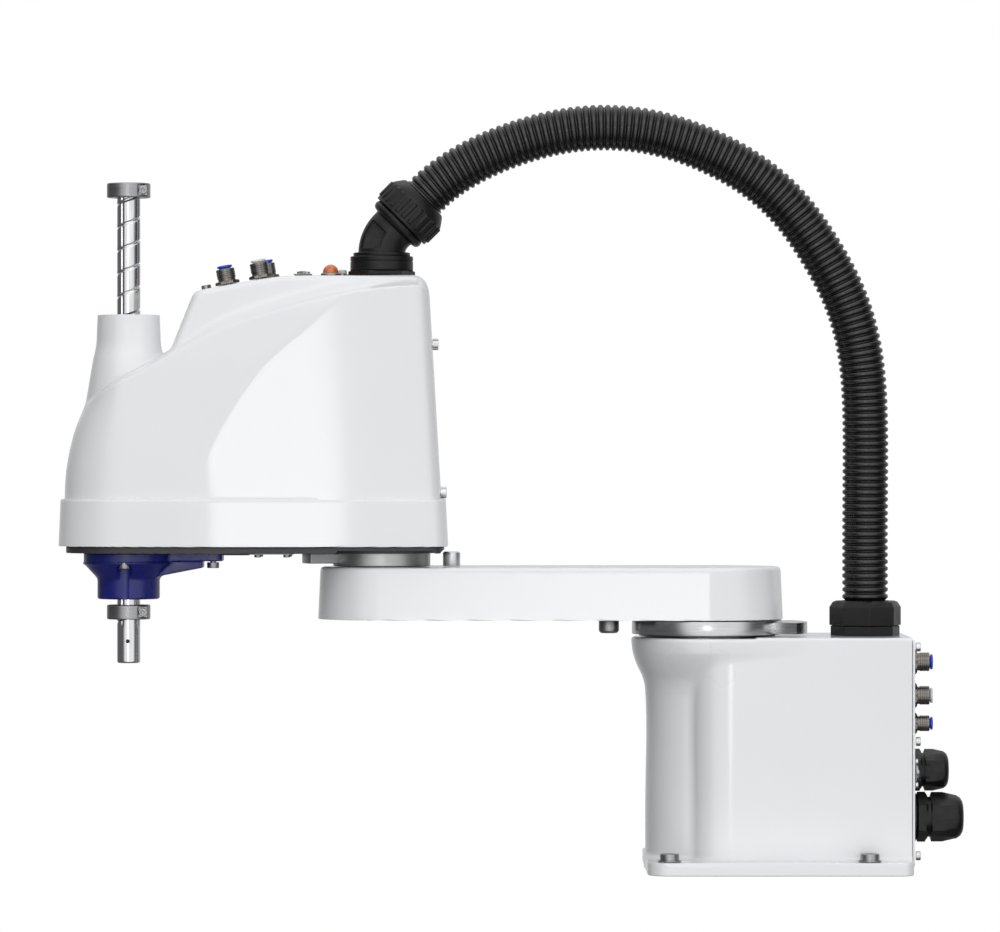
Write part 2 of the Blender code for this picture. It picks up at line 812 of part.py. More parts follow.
def build_arm2(body, button, motor_2, motor_3, motor_4):
    arm2_frame(body)
    block = plate("j2_stop_block", sector(33.3, 55, 29, 180), 210.8, 217.6, (J2_X, 0, 0))
    finish(block, "steel", body)
    arm2_cover(body)
    spline_housing(body)
    for i, (x, y) in enumerate(HOUSING_BOLTS):
        seat = (x, y, HOUSING_NOTCH_TOP - FIT)
        small_screw(f"housing_bolt_{i + 1}", 4.2, 4, 2.3, 5.5, seat, (0, 0, -1), body)
    for name, x, y, body_r, tube_r in FITTINGS_ARM:
        air_fitting(name, (x, y, slope_z(x)), SLOPE_NORMAL, body_r, tube_r, body)
    d_connector("arm_user_connector", (CONNECTOR_X, 0, COVER_TOP), "Z", body)
    lamp = [(0, 8), (2.8, 7.4), (4.8, 5.4), (5.5, 2.3), (6.8, 2), (6.8, FIT), (4, FIT), (4, -5), (0, -5)]
    finish(turned("motor_on_lamp", lamp, (LAMP_X, 0, COVER_TOP), sides=20), "orange_lens", body)
    for name, x, z in COVER_SCREWS:
        small_screw(name, 4, 4.5, 2, 8, (x + FIT, 0, z), (1, 0, 0), body)
    seat = Vector((TOP_SCREW_X, 0, slope_z(TOP_SCREW_X))) + Vector(SLOPE_NORMAL) * FIT
    small_screw("cover_screw_top", 4, 4, 2, 6, seat, SLOPE_NORMAL, body)
    reducer_ring("j2_reducer", J2_X, 211, 16.7, 29, body)
    drive_motor("j2_motor", J2_X, 20, 228, 72, 6, body, depth=12)
    drive_motor("j3_motor", J3_MOTOR_X, MOTOR_HALF, BRACKET_TOP + FIT, MOTOR_HEIGHT, 3, body)
    drive_motor("j4_motor", J4_MOTOR_X, MOTOR_HALF, BRACKET_TOP + FIT, MOTOR_HEIGHT, 3, body)
    brake_bottom = BRACKET_TOP + MOTOR_HEIGHT + 2 * FIT
    finish(rod("j3_brake", 17, 18, (J3_MOTOR_X, 0, brake_bottom)), "black_steel", body)
    belt("j3_belt", J3_MOTOR_X, J3_PULLEY_Z + 0.5, J3_PULLEY_Z + PULLEY_HEIGHT - 0.5, body)
    belt("j4_belt", J4_MOTOR_X, J4_PULLEY_Z + 0.5, J4_PULLEY_Z + PULLEY_HEIGHT - 0.5, body)
    drive_bracket(body)
    conduit_socket(body)
    cap = [(0, 5), (2.4, 4.8), (3, 4), (3, 2), (2.3, 2), (2.3, -6), (0, -6)]
    obj = turned("brake_release_button", cap, (BUTTON_X, BUTTON_Y, COVER_TOP), sides=16)
    finish(obj, "grey_plastic", button)
    wave_shaft("j2_motor_shaft", J2_X, (215, 225), (224, 239.5), motor_2)
    for name, x, z, owner in (
        ("j3_motor_pulley", J3_MOTOR_X, J3_PULLEY_Z, motor_3),
        ("j4_motor_pulley", J4_MOTOR_X, J4_PULLEY_Z, motor_4),
    ):
        obj = rod(name, MOTOR_PULLEY_R, PULLEY_HEIGHT, (x, 0, z))
        join(obj, rod("shaft", 3, 280 - z - 2, (x, 0, z + 1), sides=12))
        finish(obj, "aluminium", owner)


# ---- Shaft ----


def build_shaft(spline, screw, shaft):
    obj = ring("spline_nut", SPLINE_NUT_R, NUT_BORE_R, 48, (SHAFT_X, 0, 190))
    finish(obj, "steel", spline)
    obj = ring("j4_driven_pulley", DRIVEN_R, NUT_BORE_R, PULLEY_HEIGHT, (SHAFT_X, 0, J4_PULLEY_Z))
    finish(obj, "aluminium", spline)
    obj = ring("j3_driven_pulley", DRIVEN_R, NUT_BORE_R, PULLEY_HEIGHT, (SHAFT_X, 0, J3_PULLEY_Z))
    finish(obj, "aluminium", screw)
    nut_bottom = J3_PULLEY_Z + PULLEY_HEIGHT + FIT
    obj = ring("screw_nut", SCREW_NUT_R, NUT_BORE_R, 304 - nut_bottom, (SHAFT_X, 0, nut_bottom))
    finish(obj, "steel", screw)
    length = SHAFT_TOP - SHAFT_BOTTOM
    obj = ring("screw_spline_shaft", SHAFT_R, BORE_R, length, (SHAFT_X, 0, SHAFT_BOTTOM), sides=32)
    finish(obj, "steel", shaft)
    for name, bottom in (("upper_stop_collar", SHAFT_TOP - COLLAR_HEIGHT), ("lower_stop_collar", 172)):
        obj = ring(name, COLLAR_R, NUT_BORE_R, COLLAR_HEIGHT, (SHAFT_X, 0, bottom), sides=32)
        finish(obj, "black_steel", shaft)


# ---- Conduit elbow ----


def elbow_point(distance):
    """A point on the elbow's upper leg, a distance from its bend."""
    return Vector((J2_X, 0, ELBOW_BEND_Z)) + Vector((1, 0, 1)).normalized() * distance


def arc_profile(radius, steps):
    """Half a circle's points from the top of the axis to its bottom, as a turned profile."""
    points = []
    for i in range(steps + 1):
        angle = math.pi * i / steps
        points.append((radius * math.sin(angle), radius * math.cos(angle)))
    points[0] = (0, radius)
    points[-1] = (0, -radius)
    return points


def build_elbow(body):
    bottom = Vector((J2_X, 0, 423.1))
    bend = Vector((J2_X, 0, ELBOW_BEND_Z))
    upward = (1, 0, 1)
    obj = rod("conduit_elbow", 19.5, 3.2, bottom - Vector((0, 0, 1)))
    ball = turned("ball", arc_profile(ELBOW_R + 0.4, 10), bend, sides=24)
    lower_leg = rod("lower_leg", ELBOW_R, ELBOW_BEND_Z - 424, (J2_X, 0, 424), sides=28)
    upper_leg = rod("upper_leg", ELBOW_R, 17, bend, upward, sides=28)
    join(obj, lower_leg, ball, upper_leg, rod("collar", 21.5, 4.5, elbow_point(13.7), upward))
    below = box("below", (J2_X - 30, J2_X + 30), (-30, 30), (bottom.z - 20, bottom.z))
    bore_bottom = rod("bore", HOSE_BORE_R, 19, bottom - Vector((0, 0, 10)), sides=20)
    bore_ball = turned("bore_ball", arc_profile(HOSE_BORE_R + 0.4, 8), bend, sides=20)
    bore_top = rod("bore", HOSE_BORE_R, 30, bend, upward, sides=16)
    cut(obj, below, bore_bottom, bore_ball, bore_top)
    finish(obj, "black_plastic", body)
    profile = [(18, 22.8), (23.6, 17.2), (23.6, 0), (HOSE_BORE_R, 0), (HOSE_BORE_R, 22.8)]
    obj = turned("conduit_union_nut", profile, elbow_point(18.6), (1, 0, 1), closed=True)
    finish(obj, "black_plastic", body)


# ---- Assembly ----


for old in list(bpy.data.objects):
    bpy.data.objects.remove(old)
PARTS = new_collection("scara_robot_arm")
CUTTERS = new_collection("cutters")

build_base(axis_empty("base_axis", (0, 0, 0)), axis_empty("j1_motor_axis", (0, 0, 128)))
build_arm1(axis_empty("j1_axis", (0, 0, ARM_1_BOTTOM)))
build_arm2(
    axis_empty("j2_axis", (J2_X, 0, FRAME_BOTTOM)),
    axis_empty("button_axis", (BUTTON_X, BUTTON_Y, COVER_TOP)),
    axis_empty("j2_motor_axis", (J2_X, 0, 228)),
    axis_empty("j3_motor_axis", (J3_MOTOR_X, 0, 260)),
    axis_empty("j4_motor_axis", (J4_MOTOR_X, 0, 260)),
)
build_shaft(
    axis_empty("j4_axis", (SHAFT_X, 0, 190)),
    axis_empty("screw_nut_axis", (SHAFT_X, 0, 260)),
    axis_empty("shaft_axis", (SHAFT_X, 0, SHAFT_BOTTOM)),
)
build_elbow(axis_empty("elbow_axis", (J2_X, 0, 423)))
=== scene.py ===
"""The finish of a four-axis SCARA robot arm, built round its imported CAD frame.

Shapes are worked out in millimetres and turned into metres when a piece is made. +Z is up and the arm points
along -X, so azimuth 0 looks along +Y at the arm's side.
"""

import math
import bmesh
import bpy
import numpy as np
from mathutils import Matrix, Vector


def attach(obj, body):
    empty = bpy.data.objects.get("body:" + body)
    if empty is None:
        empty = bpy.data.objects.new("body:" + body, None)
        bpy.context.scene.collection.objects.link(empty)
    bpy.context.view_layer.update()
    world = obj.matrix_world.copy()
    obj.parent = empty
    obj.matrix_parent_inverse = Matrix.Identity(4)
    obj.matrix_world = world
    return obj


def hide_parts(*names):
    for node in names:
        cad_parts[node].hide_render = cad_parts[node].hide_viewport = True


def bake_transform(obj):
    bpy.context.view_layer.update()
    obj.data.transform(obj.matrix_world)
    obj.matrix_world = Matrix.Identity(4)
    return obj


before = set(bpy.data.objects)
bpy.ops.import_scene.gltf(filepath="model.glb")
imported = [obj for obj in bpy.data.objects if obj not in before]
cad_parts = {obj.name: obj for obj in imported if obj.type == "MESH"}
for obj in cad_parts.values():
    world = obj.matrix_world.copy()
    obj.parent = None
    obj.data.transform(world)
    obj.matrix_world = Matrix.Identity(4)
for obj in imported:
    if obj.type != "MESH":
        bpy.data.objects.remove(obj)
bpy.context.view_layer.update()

MM = 0.001
UP = Vector((0, 0, 1))
OUT = Vector((1, 0, 0))
QUARTER = Matrix.Rotation(math.radians(90), 4, "Z")

# The axes of joint 2 and of the shaft. Joint 1's is x = 0.
J2_X = -225
SHAFT_X = -400

# The base. Its rear plate's outer face carries the fittings: name, z, y, body radius and the colour of its ring.
PLATE_X = 140.4
CONDUIT_X = 109.3
BOLTS_X = (-28, 108)
BOLTS_Y = 64
BASE_TOP = 160.9
FITTINGS_BASE = (
    ("base_air_fitting_1", 143.5, -26, 6.4, "blue_ring"),
    ("base_air_fitting_2", 120.5, -26, 6.4, "white_ring"),
    ("base_air_fitting_3", 101.3, -26, 5.4, "blue_ring"),
)

# Arm 1 is two circles joined by tangents.
ARM_1_LENGTH = 225
ARM_1_R = 52.3
ARM_1_TIP_R = 43.9
ARM_1_BOTTOM = 172.3
ARM_1_TOP = 208.5
ARM_1_MIDDLE = -108

# Arm 2's cover: the front part of its top leans, and carries the fittings: name, x, y, body radius and ring.
COVER_TOP = 409.3
COVER_BOTTOM = 222.6
SLOPE_X = -349
SLOPE_Z = 399.4
SLOPE_LEAN = math.radians(10.2)
SLOPE_NORMAL = Vector((-math.sin(SLOPE_LEAN), 0, math.cos(SLOPE_LEAN)))
LAMP_X = -260.3
BUTTON = (-252.4, 12, 0)
HOUSING_BOLTS = ((-341.6, 0), (-401, -26))
FITTINGS_ARM = (
    ("arm_air_fitting_1", -330.6, -16, 6.4, "blue_ring"),
    ("arm_air_fitting_2", -307.4, -16, 6.4, "white_ring"),
    ("arm_air_fitting_3", -303, 14, 5.2, "blue_ring"),
)

# The elbow bends 45 degrees, round this point of the union of its two axes.
ELBOW_BEND = Vector((J2_X, 0, 434))
ELBOW_AXIS = Vector((1, 0, 1)).normalized()

# The conduit's route from the base nut to the elbow's union nut, as in the CAD model.
HOSE_ROUTE = (
    (CONDUIT_X, 185.1), (CONDUIT_X, 250), (CONDUIT_X, 310), (106.5, 351), (96, 392), (78, 427), (50.5, 463),
    (9, 492), (-46, 510), (-88, 511), (-129, 502), (-171, 483), (-191.3, 467.7), (-195.5, 463.5),
)
HOSE_R = 15.8
HOSE_VALLEY_R = 14.1
HOSE_PITCH = 4.8
HOSE_BORE_R = 12


# ---- Camera and light ----

# In metres: how far the camera stands from y = 0, and what it sees there.
CAMERA_DISTANCE = 3.5
VIEW_WIDTH = 0.6916
VIEW_MIDDLE = (-0.1432, 0.2779)


def add_camera():
    """At the photograph's angle: level, square to the arm's side, from 3.5 m."""
    data = bpy.data.cameras.new("camera")
    camera = bpy.data.objects.new("camera", data)
    bpy.context.scene.collection.objects.link(camera)
    data.sensor_width = 36
    data.lens = data.sensor_width * CAMERA_DISTANCE / VIEW_WIDTH
    camera.location = (VIEW_MIDDLE[0], -CAMERA_DISTANCE, VIEW_MIDDLE[1])
    camera.rotation_euler = (math.radians(90), 0, 0)
    bpy.context.scene.camera = camera


# The studio: direction, where its light starts and is full (as cosines), and its strength.
GLOWS = (
    ((0.17, -1, 0.12), 0.45, 0.82, 1.0),
    ((-0.03, -1, 0.012), 0.9957, 0.9984, 4.3),
    ((-0.1, -0.15, 1), 0.35, 0.9, 0.88),
    ((0.2, 1, 0.35), 0.3, 0.9, 0.5),
)
AMBIENT = 0.13


def add_studio():
    """White behind the object, and soft panels in front, above and behind that light it. The sides stay dim."""
    world = bpy.data.worlds.new("studio")
    bpy.context.scene.world = world
    world.use_nodes = True
    tree = world.node_tree
    nodes, links = tree.nodes, tree.links
    nodes.clear()
    output = nodes.new("ShaderNodeOutputWorld")
    mix = nodes.new("ShaderNodeMixShader")
    path = nodes.new("ShaderNodeLightPath")
    seen = nodes.new("ShaderNodeBackground")
    seen.inputs["Color"].default_value = (1, 1, 1, 1)
    light = nodes.new("ShaderNodeBackground")
    light.inputs["Color"].default_value = (0.985, 0.99, 1, 1)
    coordinates = nodes.new("ShaderNodeTexCoord")
    total = None
    for towards, start, full, strength in GLOWS:
        facing = nodes.new("ShaderNodeVectorMath")
        facing.operation = "DOT_PRODUCT"
        facing.inputs[1].default_value = Vector(towards).normalized()
        links.new(coordinates.outputs["Generated"], facing.inputs[0])
        fade = nodes.new("ShaderNodeMapRange")
        fade.interpolation_type = "SMOOTHSTEP"
        fade.inputs["From Min"].default_value = start
        fade.inputs["From Max"].default_value = full
        fade.inputs["To Max"].default_value = strength
        links.new(facing.outputs["Value"], fade.inputs["Value"])
        plus = nodes.new("ShaderNodeMath")
        plus.operation = "ADD"
        plus.inputs[1].default_value = AMBIENT
        if total:
            links.new(total.outputs[0], plus.inputs[1])
        links.new(fade.outputs["Result"], plus.inputs[0])
        total = plus
    links.new(total.outputs[0], light.inputs["Strength"])
    links.new(path.outputs["Is Camera Ray"], mix.inputs["Fac"])
    links.new(light.outputs[0], mix.inputs[1])
    links.new(seen.outputs[0], mix.inputs[2])
    links.new(mix.outputs[0], output.inputs["Surface"])


def add_floor():
    """A plain white floor, seen only from above. It takes no shadow and throws no light, so its far edge is unseen."""
    bm = bmesh.new()
    bmesh.ops.create_grid(bm, size=6)
    bmesh.ops.translate(bm, verts=bm.verts, vec=(0, 0, -0.0005))
    mesh = bpy.data.meshes.new("floor")
    bm.to_mesh(mesh)
    bm.free()
    floor = bpy.data.objects.new("floor", mesh)
    bpy.context.scene.collection.objects.link(floor)
    material = bpy.data.materials.new("floor")
    material.use_nodes = True
    nodes, links = material.node_tree.nodes, material.node_tree.links
    nodes.clear()
    output = nodes.new("ShaderNodeOutputMaterial")
    mix = nodes.new("ShaderNodeMixShader")
    path = nodes.new("ShaderNodeLightPath")
    side = nodes.new("ShaderNodeNewGeometry")
    shown = nodes.new("ShaderNodeMath")
    shown.operation = "SUBTRACT"
    shown.use_clamp = True
    clear = nodes.new("ShaderNodeBsdfTransparent")
    white = nodes.new("ShaderNodeEmission")
    white.inputs["Color"].default_value = (1, 1, 1, 1)
    links.new(path.outputs["Is Camera Ray"], shown.inputs[0])
    links.new(side.outputs["Backfacing"], shown.inputs[1])
    links.new(shown.outputs[0], mix.inputs["Fac"])
    links.new(clear.outputs[0], mix.inputs[1])
    links.new(white.outputs[0], mix.inputs[2])
    links.new(mix.outputs[0], output.inputs["Surface"])
    mesh.materials.append(material)


# ---- Materials ----


def new_material(name, colour, roughness, metallic=0.0, coat=0.0, specular=0.5):
    made = bpy.data.materials.new(name)
    made.use_nodes = True
    inputs = made.node_tree.nodes["Principled BSDF"].inputs
    inputs["Base Color"].default_value = (*colour, 1)
    inputs["Roughness"].default_value = roughness
    inputs["Metallic"].default_value = metallic
    inputs["Coat Weight"].default_value = coat
    inputs["Coat Roughness"].default_value = 0.08
    inputs["Specular IOR Level"].default_value = specular
    return made


def add_noise(material, scale, stretch=(1, 1, 1), detail=3):
    """A noise texture in the piece's own space, in metres."""
    nodes, links = material.node_tree.nodes, material.node_tree.links
    coordinates = nodes.new("ShaderNodeTexCoord")
    mapping = nodes.new("ShaderNodeMapping")
    mapping.inputs["Scale"].default_value = stretch
    noise = nodes.new("ShaderNodeTexNoise")
    noise.inputs["Scale"].default_value = scale
    noise.inputs["Detail"].default_value = detail
    links.new(coordinates.outputs["Object"], mapping.inputs["Vector"])
    links.new(mapping.outputs["Vector"], noise.inputs["Vector"])
    return noise


def vary_colour(material, noise, dark, light):
    """The colour drifts between two close tones."""
    nodes, links = material.node_tree.nodes, material.node_tree.links
    ramp = nodes.new("ShaderNodeValToRGB")
    for stop, at, tone in zip(ramp.color_ramp.elements, (0.3, 0.7), (dark, light)):
        stop.position = at
        stop.color = (*tone, 1)
    links.new(noise.outputs["Fac"], ramp.inputs["Fac"])
    links.new(ramp.outputs["Color"], nodes["Principled BSDF"].inputs["Base Color"])


def vary_roughness(material, noise, low, high):
    nodes, links = material.node_tree.nodes, material.node_tree.links
    spread = nodes.new("ShaderNodeMapRange")
    spread.inputs["From Min"].default_value = 0.3
    spread.inputs["From Max"].default_value = 0.7
    spread.inputs["To Min"].default_value = low
    spread.inputs["To Max"].default_value = high
    links.new(noise.outputs["Fac"], spread.inputs["Value"])
    links.new(spread.outputs["Result"], nodes["Principled BSDF"].inputs["Roughness"])


def add_bump(material, noise, height):
    """Height is in millimetres."""
    nodes, links = material.node_tree.nodes, material.node_tree.links
    bump = nodes.new("ShaderNodeBump")
    bump.inputs["Strength"].default_value = 1
    bump.inputs["Distance"].default_value = height * MM
    links.new(noise.outputs["Fac"], bump.inputs["Height"])
    links.new(bump.outputs["Normal"], nodes["Principled BSDF"].inputs["Normal"])


def white_paint():
    made = new_material("white_paint", (0.80, 0.81, 0.82), 0.3, coat=0.9)
    drift = add_noise(made, 9)
    vary_colour(made, drift, (0.79, 0.80, 0.815), (0.815, 0.825, 0.835))
    vary_roughness(made, drift, 0.27, 0.34)
    add_bump(made, add_noise(made, 900, detail=2), 0.01)
    return made


def cast_paint():
    made = new_material("dark_casting", (0.045, 0.045, 0.048), 0.45)
    drift = add_noise(made, 60)
    vary_colour(made, drift, (0.036, 0.036, 0.038), (0.055, 0.055, 0.058))
    vary_roughness(made, drift, 0.38, 0.55)
    add_bump(made, add_noise(made, 1400, detail=4), 0.04)
    return made


def turned_metal(name, dark, light, low, high, stretch, scale=40):
    """Metal with fine machining lines that run along the short way of the stretch."""
    made = new_material(name, light, high, metallic=1.0)
    lines = add_noise(made, scale, stretch, detail=5)
    vary_colour(made, lines, dark, light)
    vary_roughness(made, lines, low, high)
    add_bump(made, lines, 0.0012)
    return made


def moulded(name, colour, roughness, grain=0.02, specular=0.5):
    """Moulded plastic: a fine grain, and a roughness that drifts a little."""
    made = new_material(name, colour, roughness, specular=specular)
    drift = add_noise(made, 120)
    vary_colour(made, drift, tuple(c * 0.85 for c in colour), tuple(min(1, c * 1.12) for c in colour))
    vary_roughness(made, drift, roughness - 0.05, roughness + 0.07)
    add_bump(made, add_noise(made, 2500, detail=2), grain)
    return made


def orange_lens():
    made = new_material("orange_lens", (0.75, 0.16, 0.03), 0.12, coat=0.6)
    made.node_tree.nodes["Principled BSDF"].inputs["Transmission Weight"].default_value = 0.25
    vary_colour(made, add_noise(made, 500), (0.62, 0.11, 0.02), (0.85, 0.24, 0.06))
    return made


ROUND = (1, 1, 30)
MATERIALS = {
    "white": white_paint(),
    "casting": cast_paint(),
    "steel": turned_metal("steel", (0.54, 0.54, 0.55), (0.6, 0.6, 0.61), 0.2, 0.27, ROUND),
    "shaft": turned_metal("shaft_steel", (0.6, 0.6, 0.61), (0.78, 0.78, 0.79), 0.12, 0.2, (30, 30, 1)),
    "grey_steel": turned_metal("grey_steel", (0.32, 0.32, 0.325), (0.38, 0.38, 0.39), 0.3, 0.38, ROUND),
    "nickel": turned_metal("dark_nickel", (0.16, 0.15, 0.14), (0.22, 0.205, 0.19), 0.24, 0.34, ROUND),
    "screw": turned_metal("zinc", (0.5, 0.5, 0.5), (0.75, 0.75, 0.74), 0.18, 0.3, (1, 1, 1), 200),
    "black_steel": turned_metal("black_steel", (0.1, 0.1, 0.1), (0.2, 0.2, 0.2), 0.3, 0.45, (1, 1, 1), 90),
    "aluminium": turned_metal("aluminium", (0.6, 0.61, 0.62), (0.76, 0.77, 0.78), 0.3, 0.42, ROUND),
    "blue": moulded("blue_paint", (0.008, 0.012, 0.17), 0.3),
    "black": moulded("black_plastic", (0.006, 0.006, 0.0065), 0.36, specular=0.32),
    "hose": moulded("hose_plastic", (0.006, 0.006, 0.0065), 0.26, 0.01, specular=0.65),
    "boss": turned_metal("turned_casting", (0.42, 0.42, 0.42), (0.5, 0.5, 0.5), 0.35, 0.42, ROUND),
    "rubber": moulded("black_rubber", (0.02, 0.02, 0.02), 0.75),
    "blue_ring": moulded("blue_ring", (0.015, 0.06, 0.62), 0.3),
    "white_ring": moulded("white_ring", (0.72, 0.72, 0.7), 0.35),
    "grey": moulded("grey_plastic", (0.42, 0.42, 0.41), 0.4),
    "lens": orange_lens(),
    "brass": turned_metal("gold_pins", (0.6, 0.42, 0.16), (0.8, 0.6, 0.28), 0.2, 0.3, ROUND),
}

# The record's slot for each material here. The first one of a slot also goes on the CAD pieces that have that slot.
SLOTS = {
    "white": "white_paint",
    "casting": "dark_casting",
    "steel": "steel",
    "shaft": "steel",
    "grey_steel": "steel",
    "nickel": "dark_nickel",
    "screw": "steel",
    "black_steel": "black_steel",
    "aluminium": "aluminium",
    "blue": "blue_paint",
    "black": "black_plastic",
    "hose": "black_plastic",
    "boss": "dark_casting",
    "rubber": "black_rubber",
    "blue_ring": "blue_paint",
    "grey": "grey_plastic",
    "white_ring": "grey_plastic",
    "lens": "orange_lens",
    "brass": "steel",
}


# ---- Making pieces ----


def piece(name, bm, material, body, *nodes, sharp=32, bevel=0):
    """A finished piece from a bmesh in millimetres that rides on a body and stands for CAD nodes."""
    bmesh.ops.recalc_face_normals(bm, faces=bm.faces)
    bmesh.ops.scale(bm, vec=(MM, MM, MM), verts=bm.verts)
    mesh = bpy.data.meshes.new(name)
    bm.to_mesh(mesh)
    bm.free()
    return piece_from_mesh(name, mesh, material, body, nodes, sharp, bevel)


def piece_from_mesh(name, mesh, material, body, nodes, sharp=32, bevel=0):
    """Shades the mesh smooth up to an angle, gives it its material and bevel, and puts it on its body."""
    obj = bpy.data.objects.new(name, mesh)
    bpy.context.scene.collection.objects.link(obj)
    mesh.shade_smooth()
    mesh.set_sharp_from_angle(angle=math.radians(sharp))
    mesh.materials.append(MATERIALS[material])
    if bevel:
        rounding = obj.modifiers.new("Bevel", "BEVEL")
        rounding.width = bevel * MM
        rounding.segments = 2
        rounding.limit_method = "ANGLE"
        rounding.angle_limit = math.radians(40)
        rounding.harden_normals = True
    if body:
        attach(obj, body)
    if nodes:
        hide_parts(*nodes)
    return obj


def frame_at(at, along):
    """The matrix that takes +Z to the direction and the origin to the point."""
    turn = UP.rotation_difference(Vector(along)).to_matrix().to_4x4()
    return Matrix.Translation(Vector(at)) @ turn


def polygon_share(angle, sides):
    """How far out a regular polygon's edge is in that direction, as a share of its corner radius."""
    step = 2 * math.pi / sides
    return math.cos(step / 2) / math.cos(angle % step - step / 2)


def add_turned(bm, profile, matrix=Matrix(), steps=48, turn=0.0):
    """Adds a closed solid turned about Z: profile points (radius, height), the outer side first, as a loop.

    A third value above 0 makes that ring a regular polygon with so many sides. A profile that starts and ends on the
    axis is closed by its poles, and one that doesn't is a ring.
    """
    rings = []
    for radius, height, *sides in profile:
        if radius < 1e-6:
            rings.append([bm.verts.new(matrix @ Vector((0, 0, height)))])
            continue
        ring = []
        for i in range(steps):
            angle = 2 * math.pi * i / steps
            r = radius * (polygon_share(angle, sides[0]) if any(sides) else 1)
            angle += turn
            ring.append(bm.verts.new(matrix @ Vector((r * math.cos(angle), r * math.sin(angle), height))))
        rings.append(ring)
    pairs = list(zip(rings, rings[1:]))
    if len(rings[0]) > 1:
        pairs.append((rings[-1], rings[0]))
    for upper, lower in pairs:
        for i in range(steps):
            j = (i + 1) % steps
            corners = [upper[i % len(upper)], upper[j % len(upper)], lower[j % len(lower)], lower[i % len(lower)]]
            corners = list(dict.fromkeys(corners))
            if len(corners) > 2:
                bm.faces.new(corners)


def join_rings(bm, rings):
    """Joins rings of as many points each to their neighbours, the last to the first."""
    for first, second in zip(rings, [*rings[1:], rings[0]]):
        for i in range(len(first)):
            j = (i + 1) % len(first)
            bm.faces.new((first[i], first[j], second[j], second[i]))


def eased(profile, radius=0.4):
    """The profile with each of its corners cut by a small round of two steps."""
    points = [Vector(p) for p in profile]
    on_axis = points[0].x < 1e-6
    result = []
    count = len(points)
    for i, point in enumerate(points):
        if on_axis and i in (0, count - 1):
            result.append(tuple(point))
            continue
        before, after = points[i - 1] - point, points[(i + 1) % count] - point
        cut = min(radius, before.length * 0.4, after.length * 0.4)
        if cut < 0.02 or before.angle(after, 0) > math.radians(165):
            result.append(tuple(point))
            continue
        first, last = point + before.normalized() * cut, point + after.normalized() * cut
        middle = (first + last) / 4 + point / 2
        result += [tuple(first), tuple(middle), tuple(last)]
    return result


def turned(name, profile, at, along, material, body, *nodes, steps=48, ease=0.4):
    """A turned piece with its corners eased, set at a point and along a direction."""
    bm = bmesh.new()
    add_turned(bm, eased(profile, ease) if ease else profile, frame_at(at, along), steps)
    return piece(name, bm, material, body, *nodes)


def add_prism(bm, outline, low, high, matrix=Matrix()):
    """Adds a straight solid from a flat outline."""
    rings = []
    for height in (low, high):
        rings.append([bm.verts.new(matrix @ Vector((x, y, height))) for x, y in outline])
    count = len(outline)
    for i in range(count):
        j = (i + 1) % count
        bm.faces.new((rings[0][i], rings[0][j], rings[1][j], rings[1][i]))
    bm.faces.new(rings[0][::-1])
    bm.faces.new(rings[1])


def arc(centre, radius, start, end, count):
    """Points along a circle between two angles in degrees."""
    points = []
    for i in range(count + 1):
        angle = math.radians(start + (end - start) * i / count)
        points.append((centre[0] + radius * math.cos(angle), centre[1] + radius * math.sin(angle)))
    return points


def rounded_rectangle(half_x, half_y, radius, count=6):
    points = []
    for sign_x, sign_y, start in ((1, 1, 0), (-1, 1, 90), (-1, -1, 180), (1, -1, 270)):
        centre = (sign_x * (half_x - radius), sign_y * (half_y - radius))
        points += arc(centre, radius, start, start + 90, count)
    return points


def spline_through(points, samples=400):
    """A smooth curve through (at, value...) points: the places and the values, closely spaced."""
    table = np.array(points, float)
    at, values = table[:, 0], table[:, 1:]
    count = len(at)
    gaps = np.diff(at)
    matrix = np.eye(count)
    right = np.zeros((count, values.shape[1]))
    for i in range(1, count - 1):
        matrix[i, i - 1 : i + 2] = gaps[i - 1], 2 * (gaps[i - 1] + gaps[i]), gaps[i]
        right[i] = 6 * ((values[i + 1] - values[i]) / gaps[i] - (values[i] - values[i - 1]) / gaps[i - 1])
    bend = np.linalg.solve(matrix, right)
    fine = np.linspace(at[0], at[-1], samples)
    k = np.clip(np.searchsorted(at, fine, "right") - 1, 0, count - 2)
    gap, t = gaps[k][:, None], (fine - at[k])[:, None]
    left = gap - t
    curve = (
        bend[k] * left**3 / (6 * gap)
        + bend[k + 1] * t**3 / (6 * gap)
        + (values[k] / gap - bend[k] * gap / 6) * left
        + (values[k + 1] / gap - bend[k + 1] * gap / 6) * t
    )
    return fine, curve


def read_off(points):
    """A function that reads a smooth one-value curve through the points."""
    fine, curve = spline_through(points)
    return lambda at: np.interp(at, fine, curve[:, 0])


# ---- Cast and moulded shells, from distance fields ----


def smooth_max(a, b, k):
    """The larger of two fields, rounded over the width k where they meet."""
    h = np.clip(0.5 + 0.5 * (a - b) / k, 0, 1)
    return b + (a - b) * h + k * h * (1 - h)


def smooth_min(a, b, k):
    return -smooth_max(-a, -b, k)


def slope_of(field, points):
    """The field's direction of increase at each point."""
    step = 0.05
    slopes = []
    for axis in range(3):
        shift = np.zeros(3)
        shift[axis] = step
        slopes.append(field(*(points + shift).T) - field(*(points - shift).T))
    slopes = np.stack(slopes, axis=1)
    return slopes / np.maximum(np.linalg.norm(slopes, axis=1, keepdims=True), 1e-9)


